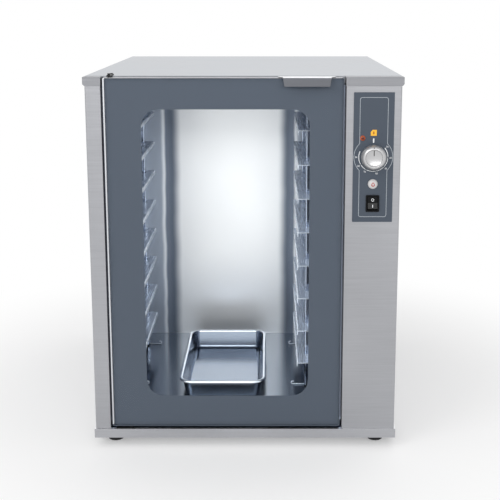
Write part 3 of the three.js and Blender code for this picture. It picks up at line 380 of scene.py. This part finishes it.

# The bent ends of the real back wall mirror the dark and the light of the side walls as upright bands. Here these
# reflections are painted: each band is a colour, set by the distance from the wall's middle, and slow waves make
# it uneven.
bands_start, bands_end, wave_reach, waves_per_metre = 116 * mm, 196 * mm, 8 * mm, (2, 2, 12)
painted_reflection_colours = (
    (0.0, "#FBFBFC"), (0.3, "#707987"), (0.46, "#7F8897"), (0.54, "#F6F8FB"), (0.64, "#B2BAC7"),
    (1.0, "#C2CAD6"),
)
tree = back_wall.node_tree
on_wall = add_node(tree, "ShaderNodeTexCoord").outputs["Object"]
waves = add_node(tree, "ShaderNodeMapping", {"Vector": on_wall, "Scale": waves_per_metre})
wave = add_node(tree, "ShaderNodeTexNoise", {"Vector": waves.outputs[0], "Scale": 1.0})
from_middle = add_node(tree, "ShaderNodeMapping", {"Vector": on_wall, "Location": (-inside_x, 0, 0)})
aside = add_node(tree, "ShaderNodeMath", {
    0: add_node(tree, "ShaderNodeSeparateXYZ", {0: from_middle.outputs[0]}).outputs["X"],
}, operation="ABSOLUTE")
uneven = add_node(tree, "ShaderNodeMath", {
    0: wave.outputs["Fac"], 1: wave_reach, 2: aside.outputs[0],
}, operation="MULTIPLY_ADD")
across_bands = add_node(tree, "ShaderNodeMapRange", {
    "Value": uneven.outputs[0], "From Min": bands_start, "From Max": bands_end,
})
bands = add_node(tree, "ShaderNodeValToRGB", {"Fac": across_bands.outputs[0]})
bands.color_ramp.interpolation = "EASE"
stops = bands.color_ramp.elements
for at, colour in painted_reflection_colours[:-1]:
    stops.new(at).color = linear(colour)
stops.remove(stops[0])
stops[-1].color = linear(painted_reflection_colours[-1][1])
tree.links.new(bands.outputs["Color"], tree.nodes["Principled BSDF"].inputs["Base Color"])

thin_edge, wall_zone, floor_zone, squarely = 0.3 * mm, 2 * mm, 1 * mm, 0.99
liner = softened("cavity_liner", thin_edge, bright_wall)
wall_y = max(face.center.y for face in liner.data.polygons)
floor_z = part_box("water_pan")[0].z
face_material(
    liner, back_wall, lambda face: face.normal.y < -squarely and face.center.y > wall_y - wall_zone,
)
# The cavity floor takes the darker copy of the liner's steel: painted shade.
face_material(
    liner, floor_painted_shade, lambda face: face.normal.z > squarely and face.center.z < floor_z + floor_zone,
)

# The ledges are narrow strips of a lighter, half-metallic copy of the liner's steel, a painted reflection of the
# room that makes them look milky.
ledge_painted_reflection = brushed("stainless_ledge_painted_reflection", "#DAE2EE", "y", roughness=0.26, bump=0.02, metallic=0.5)
ledges_a_side = 8
for side in ("left", "right"):
    dress([f"rack_upright_{side}_{end}" for end in ("front", "rear")], bright_wall)
    for number in range(1, ledges_a_side + 1):
        softened(f"rack_ledge_{side}_{number}", thin_edge, ledge_painted_reflection)


def wire(name, path, radius):
    """A round wire along (x, z) points: at each point a ring, square to the mean of its two neighbours'
    direction, and at both ends one more ring that closes to a point."""
    along = np.gradient(path, axis=0)
    along /= np.linalg.norm(along, axis=1)[:, None]
    rows = [0, *range(len(path)), -1]
    path, along = path[rows], along[rows]
    turn = np.arange(12) * math.pi / 6
    radii = radius * np.concatenate([[0], np.ones(len(path) - 2), [0]])[:, None]
    x = path[:, :1] - radii * np.cos(turn) * along[:, 1:]
    z = path[:, 1:] + radii * np.cos(turn) * along[:, :1]
    return smooth(grid_piece(name, np.stack([x, radii * np.sin(turn), z], -1), closed=True))


# A bent wire clips each upright to the floor: a straight leg towards the middle that ends in a hook.
hook = np.linspace(-math.pi / 2, math.pi / 2, 9)
wire_radius, clip_reach, hook_radius, hook_tip = 1.2 * mm, 24 * mm, 3 * mm, 2 * mm
for side, inwards in (("left", 1), ("right", -1)):
    for end in ("front", "rear"):
        low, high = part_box(f"rack_upright_{side}_{end}")
        start_x = high.x if side == "left" else low.x
        hook_x, leg_z = start_x + inwards * clip_reach, floor_z + wire_radius
        path = np.array([
            (start_x, leg_z),
            *zip(hook_x + inwards * hook_radius * np.cos(hook), leg_z + hook_radius * (1 + np.sin(hook))),
            (hook_x - inwards * hook_tip, leg_z + 2 * hook_radius),
        ])
        clip = wire(f"rack_clip_{side}_{end}", path, wire_radius)
        clip.data.transform(Matrix.Translation((0, (low.y + high.y) / 2, 0)))
        # The clips take the ledges' steel, with its painted reflection.
        put(clip, ledge_painted_reflection, "cabinet", "bright_steel")


# Water pan: deep-drawn bright stainless with a rolled rim, loose on the floor of the cavity. It is lifted
# straight off to be filled or cleaned.
def rounded_path(half_x, half_y, corner, steps=12):
    """Points round a rounded rectangle: its four corner arcs in turn, joined by the straight sides."""
    turn = np.arange(4)[:, None] * math.pi / 2 + np.linspace(0, math.pi / 2, steps + 1)
    side_x = np.array([1, -1, -1, 1])[:, None]
    side_y = np.array([1, 1, -1, -1])[:, None]
    x = side_x * (half_x - corner) + corner * np.cos(turn)
    y = side_y * (half_y - corner) + corner * np.sin(turn)
    return x.ravel(), y.ravel()


def carried(name, profile, half_x, half_y, corner):
    """A profile of (reach, height) points in mm, carried round a rounded rectangle: each point's reach
    widens the rectangle and its corner alike."""
    rows = []
    for reach, height in profile:
        x, y = rounded_path(half_x + reach, half_y + reach, max(corner + reach, 0))
        rows.append(np.stack([x, y, 0 * x + height], -1))
    return grid_piece(name, np.array(rows) * mm, closed=True)


# The pan's wall goes down from the rim, at reach 0, to a foot that turns inwards to the flat bottom.
pan_low, pan_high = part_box("water_pan")
rim_reach, foot_reach, foot_radius, pan_sheet, pan_corner = 6, -15, 8, 0.8, 22
pan_half_x = (pan_high.x - pan_low.x) / 2 / mm - rim_reach
pan_half_y = (pan_high.y - pan_low.y) / 2 / mm - rim_reach
foot_turn = np.linspace(0, math.pi / 2, 7)
inside, outside = [
    [(foot_reach + radius * math.sin(a), foot_radius - radius * math.cos(a)) for a in foot_turn]
    for radius in (foot_radius - pan_sheet, foot_radius)
]
pan_profile = [
    (-pan_half_x, pan_sheet), *inside, (-0.9, 37.4), (-0.4, 38.9), (0.8, 39.8), (2.4, 40), (4.4, 39.8),
    (5.6, 38.9), (6, 37.4), (6, 36.1), (5.3, 36.1), (5.2, 37.6), (4.4, 38.8), (2.4, 39.2), (0.8, 38.8),
    (0.1, 37.2), *reversed(outside), (-pan_half_x, 0),
]
pan = carried("water_pan_drawn", pan_profile, pan_half_x, pan_half_y, pan_corner)
pan_centre = ((pan_low.x + pan_high.x) / 2, (pan_low.y + pan_high.y) / 2, pan_low.z)
pan.data.transform(Matrix.Translation(pan_centre))
smooth(pan, 60)

# Drawing stretches the sheet and leaves it bluish bright with a faint grain. The rolled rim is a lighter copy of
# the pan's steel, a painted highlight that makes it the brightest line on the pan.
pan_steel = brushed("drawn_stainless", "#8B94A2", "y", roughness=0.2, bump=0.02, across=1.0)
put(pan, pan_steel, "pan", "bright_steel", "water_pan")
pan_rim_painted_highlight = brushed("painted_highlight_rim", "#D5DAE2", "xy", roughness=0.14, bump=0.01, across=1.0)
rim_height = 4 * mm
face_material(pan, pan_rim_painted_highlight, lambda face: face.center.z > pan_high.z - rim_height)


# Door: toughened glass with an opaque slate border behind it, in a folded steel frame with a steel
# inner panel and a silicone seal. The glass is clear straight on and mirrors the room at a slant.
glass = bpy.data.materials.new("toughened_glass")
glass.use_nodes = True
tree = glass.node_tree
tree.nodes.remove(tree.nodes["Principled BSDF"])

# Its mirror grows with the fifth power of the slant, as glass's does, and is weaker than that, because a
# true one comes out mottled. The outer faces alone mirror: seen through the pane, its own edges would
# show as bright lines.
shine_straight, shine_added, shine_power = 0.003, 0.6, 5.0
slant = add_node(tree, "ShaderNodeLayerWeight", {"Blend": 0.5})
steep = add_node(tree, "ShaderNodeMath", {0: slant.outputs["Facing"], 1: shine_power}, operation="POWER")
shine = add_node(tree, "ShaderNodeMath", {
    0: steep.outputs[0], 1: shine_added, 2: shine_straight,
}, operation="MULTIPLY_ADD")
inner_side = add_node(tree, "ShaderNodeNewGeometry").outputs["Backfacing"]
shine = add_node(tree, "ShaderNodeMix", {"Factor": inner_side, "A": shine.outputs[0], "B": 0.0})
clear = add_node(tree, "ShaderNodeBsdfTransparent", {"Color": linear("#FBFCFC")})
mirror = add_node(tree, "ShaderNodeBsdfGlossy", {"Roughness": 0.02, "Color": (1, 1, 1, 1)})
pane = add_node(tree, "ShaderNodeMixShader", {
    0: shine.outputs[0], 1: clear.outputs[0], 2: mirror.outputs[0],
})
tree.links.new(pane.outputs[0], tree.nodes["Material Output"].inputs["Surface"])
dress(["door_glass"], glass)

# The enamel is fired on the glass: flat, even and smooth, so its grain only breaks up its dull gloss.
slate = grained("slate_enamel_on_glass", "#585F6B", size=2.0, depth=0.01, shift=0.02, roughness=0.4,
                specular_ior_level=0.1)
dress(["door_border"], slate)

# The frame's lip round the glass has a painted highlight at the left: a lighter copy of the steel that shows as a
# bright line. At the foot and at the right the lip and the step behind it take the border's slate as painted
# shade, so that no line shows there.
left_lip_painted_highlight = brushed("stainless_door_edge_painted_highlight", "#D2D4D8", "z")
door_low, door_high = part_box("door_frame")
lip_width, step_depth, frame_edge = 4 * mm, 6 * mm, 0.25 * mm
door_frame = softened("door_frame", frame_edge, panel_grain, "door")


def cut_across(piece, point, normal):
    """Cuts a piece's faces along a plane, so that the two sides can take different materials."""
    work = bmesh.new()
    work.from_mesh(piece.data)
    whole = [*work.verts, *work.edges, *work.faces]
    bmesh.ops.bisect_plane(work, geom=whole, plane_co=point, plane_no=normal)
    work.to_mesh(piece.data)
    work.free()


def in_shade(face):
    """The lower and the right lip of the frame's front, and the step behind each that holds the glass, where the
    slate is painted shade.
    """
    forwards = face.normal.y < -straight
    at_foot = face.center.z < door_low.z + lip_width and (forwards or face.normal.z > straight)
    at_right = face.center.x > door_high.x - lip_width and (forwards or face.normal.x < -straight)
    return (at_foot or at_right) and face.center.y < door_low.y + step_depth


def at_left(face):
    """The left lip of the frame's front, where the painted highlight lies."""
    return face.normal.y < -straight and face.center.x < door_low.x + lip_width


cut_across(door_frame, (door_low.x + lip_width, 0, 0), (1, 0, 0))
cut_across(door_frame, (door_high.x - lip_width, 0, 0), (1, 0, 0))
cut_across(door_frame, (0, 0, door_low.z + lip_width), (0, 0, 1))
face_material(door_frame, left_lip_painted_highlight, at_left)
face_material(door_frame, slate, in_shade)

# The inner panel is left as it was rolled, so it is duller than the brushed sheets.
dull_wall = brushed("dull_inner_panel", "#6C717B", "z")
softened("door_inner_panel", thin_edge, dull_wall, "door")

# Extruded silicone is dull and a little dusty, acetal is milky, and the brackets' steel is blackened and
# oiled, which leaves a dark, uneven sheen.
silicone = grained("grey_silicone", "#3B3D41", size=0.8, depth=0.05, shift=0.1, roughness=0.55)
dress(["door_gasket"], silicone)
acetal = grained("white_acetal", "#DEDEDA", size=0.5, depth=0.01, shift=0.03, roughness=0.35)
dress(["hinge_bush_top", "hinge_bush_bottom"], acetal)
black_steel = grained("blackened_steel", "#1C1D1F", size=0.6, depth=0.03, shift=0.2, roughness=0.42,
                      metallic=0.6)
softened("hinge_bracket_top", thin_edge, black_steel)
softened("hinge_bracket_bottom", thin_edge, black_steel)


# Handle: one sheet of brushed steel that lies on the top of the door and turns down in front of it. Its upper side
# carries the rail edge's painted highlight, and its front is a darker copy of the steel, as painted shade.
handle_painted_shade = brushed("stainless_handle_painted_shade", "#6E7075", "x", roughness=0.32)
handle = softened("door_handle", sheet_edge, handle_painted_shade, "door")
# The handle's upward faces take the painted highlight.
face_material(handle, painted_highlight_steel, lambda face: face.normal.z > upwards)


# Control plate: satin slate sheet with pale screen printing: an outline that swells round the dial, the
# dial's scale with its numbers, an off mark and an amber sign for heat. The maker's place stays bare.
# A satin polyester face has a fine leathery grain, drawn at twice its size so that it shows.
plate_face = grained("slate_satin_plate", "#464E59", size=0.8, depth=0.03, shift=0.03, roughness=0.45,
                     specular_ior_level=0.25)
dress(["control_plate"], plate_face)
shaft_low, shaft_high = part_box("thermostat_shaft")
dial_x, dial_z = (shaft_low.x + shaft_high.x) / 2 / mm, (shaft_low.z + shaft_high.z) / 2 / mm
plate_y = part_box("control_plate")[0].y / mm
ink_gap, ink_film = 0.06, 0.042


def as_film(piece, thickness, side=0):
    """Gives a printed surface its thickness in mm: half of it before and half behind, or, with side -1,
    all of it behind."""
    film = piece.modifiers.new("film", "SOLIDIFY")
    film.thickness, film.offset = thickness * mm, side
    return piece


def flat_piece(name, patches):
    """Flat patches, each of (x, z) corners in mm and its faces, as one printed film that faces forwards."""
    corners, faces = [], []
    for flat, cells in patches:
        faces += [[int(i) + len(corners) for i in cell] for cell in cells]
        corners += [(x * mm, (plate_y - ink_gap) * mm, z * mm) for x, z in flat]
    mesh = bpy.data.meshes.new(name)
    mesh.from_pydata(corners, [], faces)
    work = bmesh.new()
    work.from_mesh(mesh)
    bmesh.ops.recalc_face_normals(work, faces=work.faces)
    bmesh.ops.reverse_faces(work, faces=[face for face in work.faces if face.normal.y > 0])
    work.to_mesh(mesh)
    work.free()
    return as_film(piece_of(name, mesh), ink_film, -1)


def ribbon(path, width):
    """A line along (x, z) points, of one width or of a width at each point: each point is set off to both
    sides, square to the mean of its two neighbours' direction."""
    path = np.array(path, float)
    along = np.gradient(path, axis=0)
    along /= np.linalg.norm(along, axis=1)[:, None]
    count = len(path)
    sideways = np.stack([-along[:, 1], along[:, 0]], 1) * np.broadcast_to(width, count)[:, None] / 2
    start = np.arange(count - 1)
    cells = np.stack([start, start + 1, start + 1 + count, start + count], 1)
    return np.concatenate([path + sideways, path - sideways]), cells


def dial_arc(radius, first, last, steps=24):
    """Points on an arc round the dial, from one clock angle to another, in degrees from the top: x goes
    with the sine and z with the cosine."""
    angle = np.radians(np.linspace(first, last, steps))
    return np.stack([dial_x + radius * np.sin(angle), dial_z + radius * np.cos(angle)], 1)


# Outline: two rounded brackets, one above the dial and one below it, joined by two arcs round it.
outline_half, outline_top, outline_foot, outline_corner = 26.2, 697.8, 470.5, 4
swell, line_width = 36.6, 0.8
swell_angle = math.degrees(math.asin(outline_half / swell))
swell_height = swell * math.cos(math.radians(swell_angle))
fold = np.linspace(0, math.pi / 2, 7)
turn_x, turn_z = outline_corner * (1 - np.cos(fold)), outline_corner * (1 - np.sin(fold))
left, right = dial_x - outline_half, dial_x + outline_half
above = np.concatenate([
    [(left, dial_z + swell_height)],
    np.stack([left + turn_x, outline_top - turn_z], 1),
    np.stack([right - turn_x[::-1], outline_top - turn_z[::-1]], 1),
    [(right, dial_z + swell_height)],
])
below = np.stack([above[:, 0], outline_foot + outline_top - above[:, 1]], 1)
below[[0, -1], 1] = dial_z - swell_height
pale_lines = [
    ribbon(above, line_width), ribbon(below, line_width),
    ribbon(dial_arc(swell, swell_angle, 180 - swell_angle), line_width),
    ribbon(dial_arc(swell, 180 + swell_angle, 360 - swell_angle), line_width),
]

# Screen ink lies in a thin, slightly uneven film that is duller than the face under it.
pale_print = grained("pale_grey_ink", "#AEB4BA", size=0.4, depth=0.02, shift=0.04, roughness=0.6)
put(flat_piece("outline_print", pale_lines), pale_print, "cabinet", "slate_plate")

# Dial: the off mark, the scale's arcs between its numbers, thinnest in the middle, and the numbers.
scale_radius, number_radius, number_height = 27.5, 32.4, 4.6
first_number, number_step, number_angles = 30, 10, (53, 93, 133, 168, 209, 238, 269)
off_low, off_middle, off_high, off_width = 612.6, 616, 620.8, 2.5
before_first, after_last, arc_gap = 4, 26, 2
thinnest_angle, angle_span, thinnest, thickening = 176, 120, 0.8, 0.8
marks = [ribbon([(dial_x, off_low), (dial_x, off_middle), (dial_x, off_high)], off_width)]
edges = [number_angles[0] - before_first, *number_angles[1:-1], number_angles[-1] + after_last]
for first, last in zip(edges, edges[1:]):
    path = dial_arc(scale_radius, first + arc_gap, last - arc_gap)
    away_share = np.abs(np.linspace(first, last, len(path)) - thinnest_angle) / angle_span
    marks.append(ribbon(path, thinnest + thickening * away_share))
for number, angle in enumerate(number_angles):
    text = bpy.data.curves.new("number", "FONT")
    text.body, text.size = str(first_number + number_step * number), number_height * mm
    text.align_x, text.align_y = "CENTER", "CENTER"
    written = piece_of("number", text)
    shape = bpy.data.meshes.new_from_object(written)
    flat = np.array([vertex.co[:2] for vertex in shape.vertices]) / mm
    number_place = dial_arc(number_radius, angle, angle, 1)[0]
    marks.append((flat + number_place, [list(face.vertices) for face in shape.polygons]))
    bpy.data.objects.remove(written)
white_print = grained("white_ink", "#E2E4E6", size=0.4, depth=0.02, shift=0.03, roughness=0.6)
put(flat_piece("dial_print", marks), white_print, "cabinet", "slate_plate")

# Heat sign: an amber square with a cut corner, and on it a brown flame: a circle, narrower at its top.
sign_z, sign_half = 631.5, 5.6
flame_half, flame_height, flame_narrowing = 1.5, 3.2, 0.35
sign = [(-1, -1), (1, -1), (1, 1), (-0.36, 1), (-1, 0.36)]
sign_corners = [(dial_x + x * sign_half, sign_z + z * sign_half) for x, z in sign]
amber = grained("amber_ink", "#F0B32C", size=0.4, depth=0.02, shift=0.04)
put(flat_piece("heat_sign", [(sign_corners, [range(len(sign))])]), amber, "cabinet", "slate_plate")
round_flame = np.linspace(0, 2 * math.pi, 25)[:-1]
flame_x = flame_half * np.sin(round_flame) * (1 - flame_narrowing * np.cos(round_flame))
flame = np.stack([dial_x + flame_x, sign_z + flame_height * np.cos(round_flame)], 1)
mark = flat_piece("heat_sign_mark", [(flame, [range(len(flame))])])
mark.data.transform(Matrix.Translation((0, -ink_gap * mm, 0)))
brown = grained("brown_ink", "#A8660E", size=0.4, depth=0.02, shift=0.04)
put(mark, brown, "cabinet", "slate_plate")


# Thermostat knob: satin metallised plastic, a bevelled skirt round a raised cap, on the steel shaft.
# A black line on the cap and a short one on the skirt show where it points.
knob_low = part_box("thermostat_knob")[0]
knob_centre = (dial_x * mm, knob_low.y, dial_z * mm)

# Metallised plastic shines softly like spun aluminium, with a fine orange-peel from its moulding.
satin = grained("metallised_knob", "#BEBEBF", size=0.9, depth=0.02, shift=0.02, roughness=0.34,
                metallic=0.9)
bore_radius, bore_gap = 3.2, 0.3
bore_end = (shaft_low.y - knob_low.y) / mm - bore_gap
knob_back = [
    (0, bore_end), (bore_radius, bore_end), (bore_radius, 18), (22.4, 18), (23.2, 17.6), (23.9, 15.6),
    (24, 9.6),
]
knob_front = [
    (23.9, 8.2), (23.4, 7), (20.6, 2.2), (19.4, 0.9), (18, 0.15), (17, 0), (16.4, 0.2), (16, 0.8),
    (15.6, 2.1), (15, 2.6), (13, 3.3), (10.5, 3.95), (8, 4.4), (5, 4.8), (2.5, 5), (0, 5.05),
]
knob = turned("thermostat_knob_moulded", knob_back + knob_front, knob_centre, "Y", 96)
put(knob, satin, "dial", "cream_plastic", "thermostat_knob")
dress(["thermostat_shaft"], bright_wall)
black_ink = grained("black_ink", "#17181A", size=0.4, depth=0.02)


def inlay(name, low, high, half):
    """A bar of paint that lies in a shallow groove on the knob's face, from one radius in mm to another and
    half a width to either side: its depth follows the knob's front at each radius."""
    groove, paint = 0.02, 0.1
    bar = bmesh.new()
    bmesh.ops.create_grid(bar, x_segments=2, y_segments=8, size=0.5)
    mesh = bpy.data.meshes.new(name)
    bar.to_mesh(mesh)
    bar.free()
    flat = np.array([vertex.co[:2] for vertex in mesh.vertices])
    x, radius = flat[:, 0] * 2 * half, low + (flat[:, 1] + 0.5) * (high - low)
    front = np.interp(radius, *np.array(knob_front[::-1]).T) + groove
    placed = np.stack([dial_x * mm + x * mm, knob_low.y + front * mm, dial_z * mm + radius * mm], 1)
    mesh.vertices.foreach_set("co", placed.ravel())
    put(as_film(piece_of(name, mesh), paint), black_ink, "dial", "black_plastic")


inlay("knob_pointer", 4, 14.6, 0.8)
inlay("knob_skirt_mark", 18.6, 20.2, 1.3)

# Phenolic is pressed from a filled powder, which leaves faint flecks. The capillary's copper is drawn, and
# it has begun to tarnish in patches.
phenolic = grained("grey_phenolic", "#8C8F93", size=0.7, depth=0.03, shift=0.12)
dress(["thermostat_body", "terminal_block"], phenolic)
copper = grained("drawn_copper", "#C07A4A", size=0.8, depth=0.02, shift=0.12, roughness=0.35, metallic=1.0)
dress(["thermostat_sensor"], copper)


# Signal lamp: a small domed lens of clear red plastic, pressed into the plate from the front. It is
# darker in the middle, where the plastic is deep, and its polish leaves one sharp highlight.
lamp_low, lamp_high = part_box("signal_lamp")
lamp_centre = ((lamp_low.x + lamp_high.x) / 2, lamp_low.y, (lamp_low.z + lamp_high.z) / 2)
deep_radius, shallow_radius = 1.8 * mm, 4.4 * mm
lens, tree, shader = new_material("red_lens", roughness=0.12)
from_lamp = add_node(tree, "ShaderNodeMapping", {
    "Vector": add_node(tree, "ShaderNodeTexCoord").outputs["Object"],
    "Location": [-value for value in lamp_centre],
})
across_lens = add_node(tree, "ShaderNodeVectorMath", {
    0: from_lamp.outputs[0], 1: (1, 0, 1),
}, operation="MULTIPLY")
from_axis = add_node(tree, "ShaderNodeVectorMath", {0: across_lens.outputs[0]}, operation="LENGTH")
depth = add_node(tree, "ShaderNodeMapRange", {
    "Value": from_axis.outputs["Value"], "From Min": deep_radius, "From Max": shallow_radius,
})
tint = add_node(tree, "ShaderNodeMix", {
    "Factor": depth.outputs[0], "A": linear("#520F04"), "B": linear("#B8521C"),
}, data_type="RGBA")
tree.links.new(tint.outputs["Result"], shader.inputs["Base Color"])
lens_profile = [
    (0, 0), (1.2, 0.06), (2.4, 0.3), (3.4, 0.8), (4.2, 1.5), (4.8, 2.3), (5, 2.9), (4, 3), (4, 24), (0, 24),
]
signal = turned("signal_lamp_lens", lens_profile, lamp_centre, "Y", 48)
put(signal, lens, "cabinet", "red_lens", "signal_lamp")


# Push button: glossy white plastic, domed, with a red drop printed on it, sliding in its black cup. The
# gloss puts one small highlight on the dome.
button_low, button_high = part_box("push_button")
button_centre = ((button_low.x + button_high.x) / 2, button_low.y, (button_low.z + button_high.z) / 2)
dome = [(0, 0), (2, 0.12), (4, 0.5), (6, 1.3), (7.4, 2.3), (8.5, 3.5), (9.1, 4.6), (9.4, 5.6)]
stem = [(9.4, 11.8), (3, 11.8), (3, 25.8), (0, 25.8)]
button = turned("push_button_moulded", dome + stem, button_centre, "Y", 64)
white_gloss = grained("glossy_white_button", "#C6C4C4", size=1.2, depth=0.01, shift=0.02, roughness=0.2)
put(button, white_gloss, "button", "white_plastic", "push_button")

# The drop is a ring, laid on the dome: a circle made narrower towards its top, and the same one smaller.
drop_half, drop_height, drop_narrowing, drop_inner, print_lift = 3.1, 4.1, 0.45, 0.55, 0.05
round_drop = np.linspace(0, 2 * math.pi, 33)
size = np.array([[1], [drop_inner]])
drop_x = size * drop_half * np.sin(round_drop) * (1 - drop_narrowing * np.cos(round_drop))
drop_up = size * drop_height * np.cos(round_drop)
on_dome = np.interp(np.hypot(drop_x, drop_up), *np.array(dome).T) - print_lift
drop_points = np.stack([drop_x, on_dome, drop_up], -1) * mm + np.array(button_centre)
thick_print = 0.08
drop = as_film(grid_piece("button_drop_print", drop_points), thick_print)
red_ink = grained("red_ink", "#A23A33", size=0.4, depth=0.02, shift=0.05, roughness=0.4)
put(drop, red_ink, "button", "white_plastic")

# Polyamide is moulded with a polish: deep black, with a dim reflection of the room.
black_plastic = grained("black_polyamide", "#0B0C0E", size=1.0, depth=0.01, shift=0.1, roughness=0.2,
                        specular_ior_level=0.15)
dress(["button_cup", "cable_gland"], black_plastic)


# Rocker switch: glossy black bezel and rocker, marked with a white ring for off and a bar for on. The
# rocker's front is two flats that meet in a shallow valley across its middle.
switch_edge = 0.5 * mm
softened("switch_housing", switch_edge, black_plastic)
softened("switch_rocker", switch_edge, black_plastic, "rocker", 3)
tip_joint = next(joint for joint in frame["joints"] if joint["name"] == "rocker_tip")
tilt = math.radians(tip_joint["range_deg"][1] / 2)
flat_front, valley_depth, flat_length = 9.2, 1.4, 11.5


def rocker_mark(name, points):
    """A white mark on the rocker: a grid of (x, height) points in mm from its middle, laid on its two
    flats and then turned about the rocker's axis by its tilt at rest."""
    clearance = 0.03
    x, height = np.moveaxis(np.array(points, float), -1, 0)
    front = valley_depth * (1 - np.abs(height) / flat_length) - flat_front - clearance
    tipped_y = front * math.cos(tilt) + height * math.sin(tilt)
    tipped_z = height * math.cos(tilt) - front * math.sin(tilt)
    placed = np.stack([x, tipped_y, tipped_z], -1) * mm + np.array(tip_joint["pos_m"])
    put(as_film(grid_piece(name, placed), thick_print), white_print, "rocker", "white_plastic")


# The ring for off and the bar for on lie at the same height above and below the rocker's middle.
full_turn = np.linspace(0, 2 * math.pi, 41)
mark_height, ring_radii, bar_half_x, bar_half_z = 5.9, (1.9, 2.8), 0.65, 2.7
rocker_mark("rocker_off_ring", [
    np.stack([radius * np.sin(full_turn), mark_height + radius * np.cos(full_turn)], 1)
    for radius in ring_radii
])
rocker_mark("rocker_on_bar", [
    [(x, z - mark_height) for x in (-bar_half_x, bar_half_x)] for z in (-bar_half_z, bar_half_z)
])


# Inner parts: insulation slabs and the sheathed heating element under the cavity. Mineral wool is a felt
# of crossing fibres, drawn 2 mm wide, far coarser than they are, so that they show.
wool = grained("mineral_wool", "#B8A673", size=2.0, depth=2.0, shift=0.25, roughness=0.95)
wool_edge = 5 * mm
for name in ("insulation_left", "insulation_top", "insulation_back"):
    softened(name, wool_edge, wool, segments=3)
dress(["heating_element"], bright_wall)
